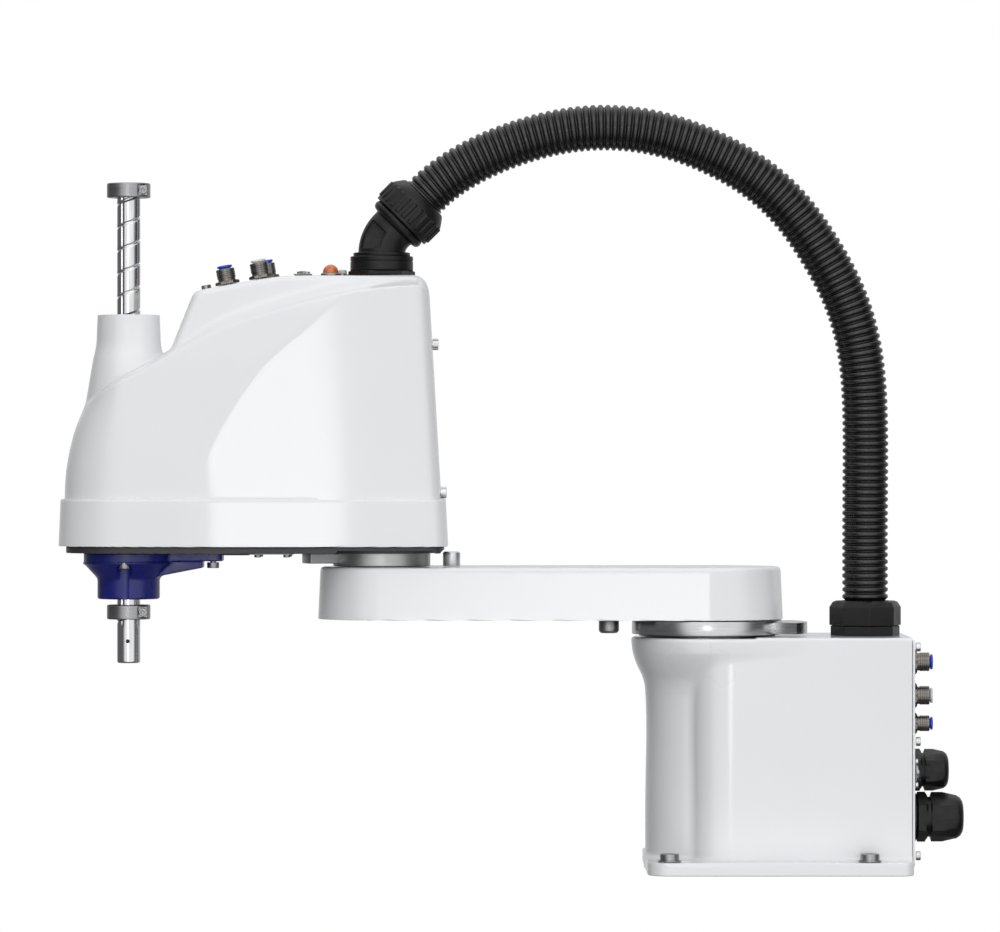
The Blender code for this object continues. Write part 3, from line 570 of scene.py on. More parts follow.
def contour(name, field, low, high, step, material, body, *nodes, sharp=26):
    """A shell where the field is zero. Each grid cell on it gets one point, placed so that corners stay sharp."""
    low = np.array(low, float)
    counts = np.ceil((np.array(high) - low) / step).astype(int) + 1
    axes = [low[k] + step * np.arange(counts[k]) for k in range(3)]
    values = field(*np.meshgrid(*axes, indexing="ij"))
    inside = values < 0
    cells_shape = counts - 1
    crossings, faces_at = [], []
    for axis in range(3):
        first = [slice(None)] * 3
        second = [slice(None)] * 3
        first[axis], second[axis] = slice(0, -1), slice(1, None)
        first, second = tuple(first), tuple(second)
        index = np.argwhere(inside[first] != inside[second])
        start = values[first][tuple(index.T)]
        end = values[second][tuple(index.T)]
        points = index.astype(float)
        points[:, axis] += start / (start - end)
        points = low + step * points
        normals = slope_of(field, points)
        b, c = (axis + 1) % 3, (axis + 2) % 3
        quads = []
        for shift_b, shift_c in ((0, 0), (1, 0), (1, 1), (0, 1)):
            cell = index.copy()
            cell[:, b] -= shift_b
            cell[:, c] -= shift_c
            quads.append(cell)
        quads = np.stack(quads, axis=1)
        kept = ((quads >= 0) & (quads < cells_shape)).all(axis=(1, 2))
        quads, points, normals, start = quads[kept], points[kept], normals[kept], start[kept]
        flat = np.ravel_multi_index(tuple(quads.reshape(-1, 3).T), tuple(cells_shape)).reshape(-1, 4)
        flat[start >= 0] = flat[start >= 0][:, ::-1]
        faces_at.append(flat)
        crossings.append((np.repeat(points, 4, axis=0), np.repeat(normals, 4, axis=0), flat.reshape(-1)))
    faces = np.concatenate(faces_at)
    points = np.concatenate([c[0] for c in crossings])
    normals = np.concatenate([c[1] for c in crossings])
    owners = np.concatenate([c[2] for c in crossings])
    used, owner = np.unique(owners, return_inverse=True)
    count = len(used)
    share = np.bincount(owner, minlength=count)
    mean = np.stack([np.bincount(owner, points[:, k], count) for k in range(3)], axis=1) / share[:, None]
    offset = (normals * (points - mean[owner])).sum(axis=1)
    pull = 0.08
    matrix = np.zeros((count, 3, 3))
    right = np.zeros((count, 3))
    for i in range(3):
        right[:, i] = np.bincount(owner, normals[:, i] * offset, count)
        for j in range(3):
            matrix[:, i, j] = np.bincount(owner, normals[:, i] * normals[:, j], count) + pull * (i == j)
    moved = np.linalg.solve(matrix, right[:, :, None])[:, :, 0]
    moved = np.clip(moved, -step, step)
    vertices = (mean + moved) * MM
    mesh = bpy.data.meshes.new(name)
    mesh.from_pydata(vertices.tolist(), [], np.searchsorted(used, faces).tolist())
    mesh.update()
    return piece_from_mesh(name, mesh, material, body, nodes, sharp)


NOSE_FRONT = read_off(
    (
        (215, 44.6), (240, 44.4), (255, 44), (274, 43), (290, 40.2), (306, 35.6), (318.6, 29.8), (331, 24),
        (350, 16), (380, 6), (415, 4),
    )
)
PANEL_CREASE = read_off(
    (
        (215, -352), (250, -351.5), (266, -349.2), (283, -345.4), (301, -337.6), (328.2, -321.1),
        (355.3, -298.5), (373.5, -275.9), (387, -257.8), (399.4, -230.7), (415, -190),
    )
)
SHOULDER_CREASE = read_off(
    (
        (-455, 303), (-436, 315.5), (-422.8, 323.7), (-408.1, 332.8), (-388.9, 342.5), (-370.9, 353.1),
        (-357.3, 360.6), (-321.1, 375.7), (-275.9, 389.3), (-230.7, 398.4), (-193.4, 401.7), (-170, 402),
    )
)
NECK_R = read_off(
    (
        (290, 38), (306, 33.4), (318.6, 30.3), (331, 28), (345, 25.7), (352, 24.4), (361, 22.5), (370.7, 21.9),
        (382.2, 21.4), (420, 20.5),
    )
)
COVER_HALF_WIDTH = 51
SIDE_TAPER = 0.105
REAR_TAPER = 0.07
REAR_TAPER_X = -252
RIM_CREASE = -351.5
RIM_TOP = 255.1
NOSE_POWER = 2.35
COVER_WALL = 3


def cover_side(x, across, panel_x, front, half_width, crease_k):
    """Distance from the cover's upright wall: flat panels, sides that taper to the nose and to the rear."""
    towards_nose = half_width - SIDE_TAPER * (panel_x - x)
    flat = half_width + 0 * x
    towards_rear = half_width - REAR_TAPER * (x - REAR_TAPER_X)
    width = smooth_min(smooth_min(flat, towards_rear, 2.2), towards_nose, crease_k)
    width = np.maximum(width, 20)
    reach = np.maximum(0, SHAFT_X - x) / front
    return ((reach**NOSE_POWER + (across / width) ** NOSE_POWER) ** (1 / NOSE_POWER) - 1) * width


def cover_field(x, y, z):
    """Arm 2's cover: side walls under a ledge, a box on top, the shaft's neck, the rim below, and its hollow."""
    across = np.abs(y)
    draft = 0.02 * np.maximum(0, z - 255)
    crease_k = np.interp(z, (255, 285), (2.2, 0.5))
    side = cover_side(x, across, PANEL_CREASE(z), NOSE_FRONT(z), COVER_HALF_WIDTH - draft, crease_k)
    depth = np.maximum(0, -side)
    ledge = z - SHOULDER_CREASE(x) - 5 * (1 - np.exp(-depth / 9))
    box_side = across - (33.5 + 0.12 * (COVER_TOP - z))
    front_face = -0.930 * (x + 368.4) + 0.367 * (z - 358.8)
    slope = -math.sin(SLOPE_LEAN) * (x - SLOPE_X) + math.cos(SLOPE_LEAN) * (z - SLOPE_Z)
    top = smooth_max(slope, z - COVER_TOP, 3)
    upper = smooth_max(smooth_max(box_side, front_face, 7), top, 5)
    neck = smooth_max(np.hypot(x - SHAFT_X, y) - NECK_R(z), z - 382.2, 0.6)
    blend = np.interp(x, (-362, -335), (2.5, 10))
    whole = smooth_max(smooth_min(ledge, upper, blend), side, 0.9)
    whole = smooth_max(smooth_min(whole, neck, 3), top, 2.5)
    rear = x + 184.2 + 0.0575 * (z - 255.6)
    whole = smooth_max(whole, rear, 12)
    rim_draft = 0.043 * (z - COVER_BOTTOM)
    rim = cover_side(x, across, RIM_CREASE, 48.2 - rim_draft, COVER_HALF_WIDTH + 2 - 0.3 * rim_draft, 2.2)
    rim = smooth_max(rim, x + 179.4 + 0.049 * (z - COVER_BOTTOM), 14)
    rim = smooth_max(rim, z - RIM_TOP, 1.2)
    outer = np.minimum(whole, rim)
    hollow = np.maximum(outer + COVER_WALL, z - 405)
    bore = np.maximum(np.hypot(x - SHAFT_X, y) - 17, 300 - z)
    skin = np.maximum(np.maximum(outer, -hollow), -bore)
    return smooth_max(skin, COVER_BOTTOM - z, 0.6)


COLUMN_R = read_off(
    ((-5, 42.6), (60, 42.6), (121, 42.7), (127, 43.3), (133, 45), (138.5, 47.6), (146.5, 50.7), (152, 51.9),
     (170, 52.2))
)


def base_field(x, y, z):
    """A column with a flared head that runs on into the cable box, on a thick flange. It is hollow and open behind."""
    across = np.abs(y)
    radius = COLUMN_R(z)
    widening = np.interp(z, (121, 150), (0, 1))
    column = np.hypot(x, y * (1 - 0.085 * widening)) - radius
    shoulder = np.maximum(across - (radius * (1 + 0.095 * widening) - 0.055 * x), np.maximum(-x, x - 60))
    box = smooth_max(across - 55, -14 - x, 30)
    body = smooth_min(np.minimum(column, shoulder), box, 2.5)
    top = np.where(x > 31, z - BASE_TOP, z - BASE_TOP + 0.8)
    body = smooth_max(body, top, 2.6)
    body = smooth_max(body, x - 137.7, 0.8)
    corner = np.where(x < 47, 14.5, 8.5)
    over_x = np.abs(x - 47.35) - (90.35 - corner)
    over_y = across - (75 - corner)
    outline = np.hypot(np.maximum(over_x, 0), np.maximum(over_y, 0)) - corner
    outline = outline + np.minimum(np.maximum(over_x, over_y), 0)
    flange = smooth_max(smooth_max(outline, z - 9, 1.2), -z, 1.0)
    whole = smooth_min(np.maximum(body, 2 - z), flange, 3.5)
    whole = np.maximum(whole, x - 137.7)
    room = np.maximum(np.maximum(across - 50, 24 - x), np.maximum(9 - z, z - 154))
    motor_room = np.maximum(np.hypot(x, y) - 38.6, np.maximum(11 - z, z - 151))
    mouth = np.maximum(np.hypot(x, y) - 39.6, 150.6 - z)
    cable_hole = np.maximum(np.hypot(x - CONDUIT_X, y) - 17, 140 - z)
    for hollow in (room, motor_room, mouth, cable_hole):
        whole = np.maximum(whole, -hollow)
    for bolt_x in BOLTS_X:
        whole = np.maximum(whole, 4.5 - np.hypot(x - bolt_x, across - BOLTS_Y))
    slot = np.maximum(np.hypot(np.maximum(np.abs(x - 92) - 5, 0), across - 66) - 2.6, 6.5 - z)
    return smooth_max(whole, -slot, 1.0)


def arm1_field(x, y, z):
    """Two circles joined by tangents, with a slight draft, rounded edges and a cavity under it."""
    along, across = -x, np.abs(y)
    lean = (ARM_1_R - ARM_1_TIP_R) / ARM_1_LENGTH
    cosine = math.sqrt(1 - lean**2)
    side = -lean * across + cosine * along
    tip = np.hypot(along - ARM_1_LENGTH, across) - ARM_1_TIP_R
    tangent = across * cosine + along * lean - ARM_1_R
    outline = np.where(side > cosine * ARM_1_LENGTH, tip, tangent)
    outline = np.where(side < 0, np.hypot(along, across) - ARM_1_R, outline)
    outline = outline + 0.045 * (z - 172.8)
    whole = smooth_max(smooth_max(outline, z - ARM_1_TOP, 3), ARM_1_BOTTOM - z, 0.9)
    from_middle = np.abs(x - ARM_1_MIDDLE)
    recess = np.maximum(np.maximum(from_middle - 78, across - 37), z - 175.1)
    cavity = np.maximum(np.maximum(from_middle - 74, across - 33), z - 203)
    return np.maximum(np.maximum(whole, -recess), -cavity)


def housing_field(x, y, z):
    """The flange, cone and barrel of the spline housing, with a ribbed foot towards the arm."""
    radius = np.hypot(x - SHAFT_X, y)
    flange = smooth_max(smooth_max(radius - 31, z - 217.6, 0.8), 210.2 - z, 0.8)
    cone = smooth_max(radius - (21.5 + 0.92 * (z - 200.2)), z - 211, 0.8)
    barrel = smooth_max(radius - 21.5, z - 212, 0.8)
    bottom = smooth_max(smooth_min(cone, barrel, 1.5), 186 - z, 1.8)
    foot = smooth_max(np.abs(y) - 13, np.abs(x + 360) - 25.4, 4)
    foot = smooth_max(foot, np.maximum(z - 217.6, 212.2 - z), 0.8)
    ribs = smooth_max(np.abs(y) - 11.5, 203.8 + 0.194 * (x + 368.4) - z, 1.2)
    ribs = smooth_max(ribs, np.maximum(np.maximum(x + 348.3, z - 214), -392 - x), 0.8)
    whole = smooth_min(smooth_min(flange, bottom, 1.5), smooth_min(foot, ribs, 1), 1.5)
    bore = np.where(z < 189, radius - 9.5, radius - 16.4)
    whole = np.maximum(whole, -bore)
    for bolt_x, bolt_y in HOUSING_BOLTS:
        away = np.hypot(x - bolt_x, y - bolt_y)
        whole = np.maximum(whole, -np.maximum(away - 5.4, z - 211.6))
        whole = np.maximum(whole, 2.6 - away)
    return whole


BOSS_R = 33


def frame_field(x, y, z):
    """The dark plate under the cover, with joint 2's boss, a thicker pad and the groove that the stop pin runs in."""
    across = np.abs(y)
    plan = cover_side(x, across, -345.5, 43, 49.5, 2.2)
    plan = smooth_max(plan, x + 182, 12)
    plate = smooth_max(smooth_max(plan, z - 222.3, 0.6), 217.9 - z, 0.8)
    around = np.hypot(x - J2_X, y)
    boss = smooth_max(around - BOSS_R, 209.2 - z, 1.0)
    boss = np.maximum(boss, z - 221)
    pad = smooth_max(np.abs(x + 324.5) - 9.5, across - 30, 3)
    pad = smooth_max(np.maximum(pad, z - 221), 216.6 - z, 0.6)
    whole = smooth_min(smooth_min(plate, boss, 1.2), pad, 0.8)
    groove = np.maximum(np.maximum(40.5 - around, around - 57), z - 220)
    groove = np.maximum(groove, -np.maximum(across - 0.577 * (J2_X - x), x - J2_X))
    whole = np.maximum(whole, -groove)
    whole = np.maximum(whole, 29.3 - around)
    return np.maximum(whole, 18 - np.hypot(x - SHAFT_X, y))


ELBOW_R = 16.2
ELBOW_BEND_R = 22.9
ELBOW_BEND_START = 434 - ELBOW_BEND_R * math.tan(math.radians(22.5))


def elbow_field(x, y, z):
    """A smooth bend of 45 degrees with a collar on its upper end, a step at its foot and a pocket in each side."""
    centre_x = J2_X + ELBOW_BEND_R
    along = ((x - J2_X) + (z - 434)) / math.sqrt(2)
    past = (x - centre_x) + (z - ELBOW_BEND_START) > 0
    outwards = np.hypot(x - centre_x, z - ELBOW_BEND_START) - ELBOW_BEND_R
    outwards = np.where(past, ((z - 434) - (x - J2_X)) / math.sqrt(2), outwards)
    outwards = np.where(z < ELBOW_BEND_START, J2_X - x, outwards)
    radius = np.hypot(outwards, y)
    tube = radius - ELBOW_R
    pocket = np.maximum(np.maximum(outwards - 13.6, 1.4 - outwards), np.maximum(along - 5.4, 428.4 - z))
    tube = smooth_max(tube, -np.maximum(pocket, 3 - np.abs(y)), 0.9)
    neck = smooth_max(np.hypot(x - J2_X, y) - 19.6, z - 425.3, 0.6)
    collar = np.hypot(np.maximum(radius - 17.5, 0), along - 16) - 3.6
    whole = smooth_min(smooth_min(tube, neck, 0.8), collar, 1.5)
    whole = np.maximum(whole, 423.2 - z)
    return np.maximum(whole, along - 18.4)


def collar_field(middle):
    """A clamp collar: a ring with a slot and a recess for its screw."""

    def field(x, y, z):
        dx, dz = x - SHAFT_X, np.abs(z - middle)
        whole = smooth_max(smooth_max(np.hypot(dx, y) - 15, dz - 5, 0.9), 8.3 - np.hypot(dx, y), 0.4)
        recess = np.maximum(np.maximum(7.2 - dx, y + 7), dz - 3.5)
        slot = np.maximum(np.abs(y) - 0.6, 4 - dx)
        return np.maximum(smooth_max(whole, -recess, 0.4), -slot)

    return field


# ---- Small pieces ----


def faceted(name, profile, at, along, material, body, *nodes, steps=48, turn=0.0, bevel=0.15):
    """A turned piece with polygons among its rings, bevelled and not eased."""
    bm = bmesh.new()
    add_turned(bm, profile, frame_at(at, along), steps, turn)
    return piece(name, bm, material, body, *nodes, sharp=30, bevel=bevel)


def socket_screw(bm, head_r, head, socket_r, depth, matrix, shank_r=0.0, shank=0.0):
    """A cap screw from its socket's floor outwards and down to its shank."""
    bottom = [(shank_r, 0, 0), (shank_r, -shank, 0), (0, -shank, 0)] if shank else [(0, 0, 0)]
    profile = [
        (0, head - depth - socket_r * 0.3, 0), (socket_r * 0.96, head - depth, 6), (socket_r, head - 0.2, 6),
        (socket_r * 1.12, head, 6), (head_r - 0.5, head, 0), (head_r - 0.15, head - 0.15, 0),
        (head_r, head - 0.5, 0), (head_r, 0.12, 0), (head_r - 0.12, 0, 0), *bottom,
    ]
    add_turned(bm, profile, matrix)


def air_fitting(name, at, along, body_r, ring, body):
    """A push-in fitting: a hexagon flange, a ribbed body and a coloured release ring round the tube's mouth."""
    flange = body_r * 1.32
    base = 0.3 if body == "arm2" else -0.7
    profile = [
        (body_r * 0.62, base, 0), (flange - 0.4, base, 6), (flange, base + 0.4, 6), (flange, 2.0, 6),
        (flange * 0.9, 2.5, 0), (body_r * 0.94, 2.6, 0), (body_r * 0.94, 4.4, 0), (body_r, 4.6, 0),
    ]
    for height in (5.8, 7.2, 8.6):
        for share, up in ((1, 0), (0.975, 0.15), (0.975, 0.4), (1, 0.55)):
            profile.append((body_r * share, height + up, 0))
    for share, height in ((1, 10.6), (0.94, 11), (0.66, 11), (0.66, 9), (0.62, 9)):
        profile.append((body_r * share, height, 0))
    faceted(name, profile, at, along, "nickel", body, name, bevel=0)
    lip = ((0.64, 9.2), (0.64, 11.6), (0.8, 11.9), (0.83, 12.4), (0.8, 13.2), (0.56, 13.4), (0.45, 12.6), (0.45, 9.2))
    turned(name + "_ring", [(body_r * share, height) for share, height in lip], at, along, ring, body, ease=0.15)


def d_outline(half_long, half_short):
    """A 15-pin connector's shell: a rounded rectangle whose short sides lean in."""
    points = []
    for x, y in rounded_rectangle(half_long, half_short, half_short * 0.45, 5):
        points.append((x * (1 + 0.035 * y / half_short), y))
    return points


def d_connector(name, at, along, body):
    """The connector lies along Y: a plated flange, a shell, a dark insert with pin holes and two jack screws."""
    turn = Matrix(((0, 1, 0), (-1, 0, 0), (0, 0, 1))).to_4x4()
    matrix = frame_at(at, along) @ turn
    bm = bmesh.new()
    add_prism(bm, rounded_rectangle(19.4, 6.2, 1.5), 0.3, 0.8, matrix)
    piece(name, bm, "grey_steel", body, name, bevel=0.15)
    bm = bmesh.new()
    outer, inner = d_outline(10, 4.3), d_outline(9.5, 3.8)
    rings = []
    for points, height in ((outer, 0.8), (outer, 2.7), (inner, 2.7), (inner, 1.0)):
        rings.append([bm.verts.new(matrix @ Vector((x, y, height))) for x, y in points])
    join_rings(bm, rings)
    for x in (-16.6, 16.6):
        at_screw = matrix @ Matrix.Translation((x, 0, 1.2))
        profile = [(0, -0.2), (1.3, 0), (1.3, 1.5), (1.7, 1.6), (2.3, 1.6, 6), (2.6, 1.3, 6), (2.6, 0, 6), (0, 0)]
        add_turned(bm, profile, at_screw)
    piece(name + "_shell", bm, "boss", body)
    bm = bmesh.new()
    add_prism(bm, d_outline(9.3, 3.6), 1.2, 2.2, matrix)
    piece(name + "_insert", bm, "black", body)
    bm = bmesh.new()
    for row, count in ((1.4, 8), (-1.4, 7)):
        for i in range(count):
            x = (i - (count - 1) / 2) * 2.2
            at_pin = matrix @ Matrix.Translation((x, row, 0))
            add_turned(bm, ((0, 2.35), (0.55, 2.35), (0.55, 1.9), (0, 1.9)), at_pin, 12)
    piece(name + "_pins", bm, "brass", body)


def cable_gland(name, z, y, hex_r, dome_r, length, bore):
    """A gland: a round seal, a hexagon body, a hexagon cap that tapers to a dome and a rubber seal in its mouth."""
    at = (PLATE_X, y, z)
    cap = length * 0.4
    profile = [
        (bore, 2, 0), (hex_r * 0.98, 0.4, 0), (hex_r * 0.98, length * 0.12, 0), (hex_r * 0.9, length * 0.14, 6),
        (hex_r, length * 0.16, 6), (hex_r, length * 0.3, 6), (hex_r * 0.86, length * 0.34, 0),
        (hex_r * 0.8, length * 0.34, 0), (hex_r * 0.8, cap, 0), (hex_r * 0.88, cap, 0),
        (hex_r * 0.99, cap + 0.6, 6), (hex_r * 0.99, length * 0.62, 6), (dome_r * 0.99, length * 0.8, 12),
        (dome_r * 0.95, length * 0.88, 0), (dome_r * 0.84, length * 0.95, 0), (dome_r * 0.68, length * 0.99, 0),
        (dome_r * 0.58, length, 0), (bore + 1.6, length - 0.6, 0), (bore + 1.2, length - 3, 0),
        (bore, length - 3, 0),
    ]
    faceted(name, profile, at, OUT, "black", "base", name, steps=72, bevel=0)
    seal = [(bore + 1.1, length - 1.6), (bore + 1.1, length - 5), (bore, length - 5), (bore, length - 1.4)]
    turned(name + "_seal", seal, at, OUT, "rubber", "base")


def sector(inner, outer, half_angle, towards, count):
    """The outline of a piece of a ring, centred on a direction."""
    outside = arc((0, 0), outer, towards - half_angle, towards + half_angle, count)
    return outside + arc((0, 0), inner, towards + half_angle, towards - half_angle, count)


# ---- The base ----


def make_base():
    """The casting, the rear plate and all that is on it, the mounting bolts, the steel flange and the conduit nut."""
    contour("base_shell", base_field, (-56, -79, -3), (142, 79, 165), 1.1, "white", "base", "base_casting")
    bm = bmesh.new()
    add_prism(bm, rounded_rectangle(54, 77, 3), 0, 1.5, frame_at((138, 0, 82), OUT) @ QUARTER)
    piece("rear_plate", bm, "white", "base", "connector_plate", bevel=0.3)
    bm = bmesh.new()
    for z in (154.5, 90, 12):
        for y in (-48, 48):
            socket_screw(bm, 3.1, 3.2, 1.6, 1.6, frame_at((140.5, y, z), OUT))
    for z in (76, 60):
        socket_screw(bm, 2, 1.8, 0.9, 0.9, frame_at((140.5, -44, z), OUT))
    piece("rear_plate_screws", bm, "screw", "base")
    for name, z, y, r, ring in FITTINGS_BASE:
        air_fitting(name, (PLATE_X, y, z), OUT, r, ring, "base")
    cable_gland("signal_cable_gland", 66.4, 24, 14.7, 13.6, 28.3, 5.2)
    cable_gland("power_cable_gland", 34.4, 14, 17.4, 15.8, 37.6, 7.2)
    d_connector("base_user_connector", (PLATE_X, -26, 68), OUT, "base")
    for i, (x, side) in enumerate(((0, -1), (0, 1), (1, -1), (1, 1))):
        add_mounting_bolt(f"mounting_bolt_{i + 1}", BOLTS_X[x], side * BOLTS_Y)
    bm = bmesh.new()
    add_turned(bm, eased(((22, 162), (52, 162), (52, 171.6), (22, 171.6)), 0.5), steps=120)
    add_prism(bm, sector(50, 69.2, 30, 0, 24), 162.6, 170.3)
    piece("steel_flange", bm, "steel", "base", "j1_stop_flange")
    # A seat ring set in under the steel flange. The recess is real, but its black steel finish is painted shade that
    # darkens the gap between the flange and the base's top.
    seat = ((47, 162.4), (47, 160.8), (30, 160.8), (30, 162.4))
    turned("steel_flange_seat_shaded", seat, (0, 0, 0), UP, "black_steel", "base")
    nut = [
        (15.2, 168, 0), (24.7, 168, 8), (24.9, 168.6, 8), (24.9, 180.4, 8), (22.6, 184, 8), (20.6, 184.8, 0),
        (16.4, 184.8, 0), (15.9, 182, 0), (15.2, 182, 0),
    ]
    at, turn = (CONDUIT_X, 0, 0), math.radians(3)
    faceted("conduit_nut", nut, at, UP, "black", "base", "conduit_base_nut", turn=turn, bevel=0.25)
    foot = [(12, 160.8, 0), (23.6, 160.8, 8), (24, 161.2, 8), (24, 167.4, 8), (22.5, 168, 8), (12, 168, 8)]
    faceted("conduit_nut_foot", foot, at, UP, "black", "base", turn=turn, bevel=0.2)


def add_mounting_bolt(name, x, y):
    """A cap screw on its washer."""
    bm = bmesh.new()
    socket_screw(bm, 6.5, 4.4, 3.4, 2.8, Matrix.Translation((x, y, 10.2)), 4, 9)
    add_turned(bm, eased(((8, 9.3), (8, 10.2), (4.1, 10.2), (4.1, 9.3)), 0.2), Matrix.Translation((x, y, 0)))
    piece(name + "_steel", bm, "grey_steel", "base", name)


def route_points(step):
    """The conduit's centre line: a smooth curve through the route, read off at even steps along it."""
    route = np.array(HOSE_ROUTE, float)
    at = np.concatenate(([0], np.cumsum(np.hypot(*np.diff(route, axis=0).T))))
    _, curve = spline_through(np.column_stack((at, route)), 3000)
    length = np.concatenate(([0], np.cumsum(np.hypot(*np.diff(curve, axis=0).T))))
    count = int(round(length[-1] / step))
    even = np.linspace(0, length[-1], count + 1)
    return np.interp(even, length, curve[:, 0]), np.interp(even, length, curve[:, 1]), even


def make_hose():
    """The corrugated conduit: rings of flat crests and narrow valleys along the route, hollow inside."""
    step = HOSE_PITCH / 8
    xs, zs, at = route_points(step)
    tangent = np.gradient(np.column_stack((xs, zs)), axis=0)
    tangent /= np.linalg.norm(tangent, axis=1, keepdims=True)
    bm = bmesh.new()
    sides = 56
    shape = (0, 0.06, 0.5, 0.97, 1, 1, 0.97, 0.5)
    outline = [(i, HOSE_VALLEY_R + (HOSE_R - HOSE_VALLEY_R) * shape[i % 8]) for i in range(len(xs))]
    outline += [(i, HOSE_BORE_R) for i in range(len(xs) - 1, -1, -8)]
    if outline[-1][0] != 0:
        outline.append((0, HOSE_BORE_R))
    made = []
    for i, radius in outline:
        ring = []
        for k in range(sides):
            angle = 2 * math.pi * k / sides
            across = radius * math.cos(angle)
            x, z = xs[i] - tangent[i, 1] * across, zs[i] + tangent[i, 0] * across
            ring.append(bm.verts.new((x, radius * math.sin(angle), z)))
        made.append(ring)
    join_rings(bm, made)
    hose = piece("conduit", bm, "hose", None, "conduit_hose", sharp=50)
    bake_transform(hose)


# ---- Arm 1 ----


def make_arm_1():
    """The casting, the plate under it and the two stop pins."""
    contour("arm_1_shell", arm1_field, (-273, -56, 170), (56, 56, 211), 1.1, "white", "arm1", "arm1_casting")
    bm = bmesh.new()
    add_prism(bm, rounded_rectangle(77.6, 36.6, 6), 172.9, 174.9, Matrix.Translation((ARM_1_MIDDLE, 0, 0)))
    piece("arm_1_cover_plate", bm, "casting", "arm1", "arm1_bottom_cover", bevel=0.3)
    pin = [(0, 162.4), (5.6, 162.4), (7, 164), (7, 172.5), (0, 172.5)]
    turned("stop_pin_1", pin, (-67.9, 0, 0), UP, "grey_steel", "arm1", "j1_stop_pin", ease=0.5)
    pin = [(0, 218.8), (5, 218.8), (6, 217.8), (6, 208.8), (0, 208.8)]
    turned("stop_pin_2", pin, (-176.7, 0, 0), UP, "aluminium", "arm1", "j2_stop_pin", ease=0.4)


# ---- Arm 2 ----


def slope_z(x):
    """The height of the cover's top at that x."""
    return min(COVER_TOP, SLOPE_Z + (x - SLOPE_X) * math.tan(SLOPE_LEAN))


def add_screw(name, seat, along, head_r, head, node, material="screw"):
    bm = bmesh.new()
    socket_screw(bm, head_r, head, head_r * 0.5, head * 0.5, frame_at(seat, along), head_r * 0.5, 3)
    piece(name, bm, material, "arm2", node)


def make_arm_2():
    """The cover and all that is on it, the frame under it and the blue spline housing."""
    contour("cover_shell", cover_field, (-452, -58, 220), (-174, 58, 413), 1.15, "white", "arm2", "arm2_cover")
    contour("underside_frame", frame_field, (-446, -53, 206), (-179, 53, 225), 0.9, "casting", "arm2", "arm2_frame")
    band = [(33.6, 217.7), (33.6, 209.4), (33.2, 208.9), (32.6, 208.9), (32.6, 217.7)]
    turned("boss_band", band, (J2_X, 0, 0), UP, "boss", "arm2", steps=96, ease=0)
    contour("spline_flange", housing_field, (-435, -35, 183), (-330, 35, 220), 0.8, "blue", "arm2", "spline_housing")
    bm = bmesh.new()
    add_prism(bm, sector(33.3, 55, 29, 180, 20), 210.8, 217.6, Matrix.Translation((J2_X, 0, 0)))
    piece("stop_block_2", bm, "grey_steel", "arm2", "j2_stop_block", bevel=0.5)
    bm = bmesh.new()
    add_prism(bm, rounded_rectangle(14.5, 20, 3), 216.9, 217.9, Matrix.Translation((-300, 0, 0)))
    for x, y in ((-310, -15), (-290, -15), (-310, 15), (-290, 15)):
        socket_screw(bm, 2.4, 2, 1.1, 1, frame_at((x, y, 216.9), -UP))
    piece("underside_cap", bm, "grey_steel", "arm2", bevel=0.2)
    for i, (x, y) in enumerate(HOUSING_BOLTS):
        name, node = f"flange_screw_{i + 1}", f"housing_bolt_{i + 1}"
        add_screw(name, (x, y, 211.3), -UP, 4.2, 4, node, "grey_steel")
    for name, x, y, r, ring in FITTINGS_ARM:
        air_fitting(name, (x, y, slope_z(x)), SLOPE_NORMAL, r, ring, "arm2")
    d_connector("arm_user_connector", (-279, 0, COVER_TOP), UP, "arm2")
    bezel = [(6.9, 409.6), (6.9, 410.9), (5.7, 411.4), (4, 411.4), (4, 409.6)]
    turned("lamp_bezel", bezel, (LAMP_X, 0, 0), UP, "grey_steel", "arm2", ease=0.2)
    dome = [(0, 411), (5.5, 411)]
    dome += [(5.5 * math.cos(a), 411.7 + 5.6 * math.sin(a)) for a in np.radians((0, 15, 30, 45, 60, 75))]
    turned("lamp_dome", [*dome, (0, 417.3)], (LAMP_X, 0, 0), UP, "lens", "arm2", "motor_on_lamp", ease=0)
    cap = [(0, 414.2), (2.4, 414), (3, 413.2), (3, 411), (0, 411)]
    turned("brake_button", cap, BUTTON, UP, "white_ring", "button", "brake_release_button", ease=0.2)
    collar = [(4.4, 409.6), (4.4, 410.8), (3.3, 410.8), (3.3, 409.6)]
    turned("brake_button_collar", collar, BUTTON, UP, "grey_steel", "arm2", ease=0.15)
    for name, x, z in (("cover_screw_upper", -190.1, 362), ("cover_screw_lower", -184.4, 259.5)):
        add_screw(name + "_steel", (x + 0.3, 0, z), OUT, 4, 4, name)
    seat = Vector((-346, 0, slope_z(-346))) + SLOPE_NORMAL * 0.3
    add_screw("cover_screw_top_steel", seat, SLOPE_NORMAL, 3.4, 2.8, "cover_screw_top", "grey_steel")
    add_socket()


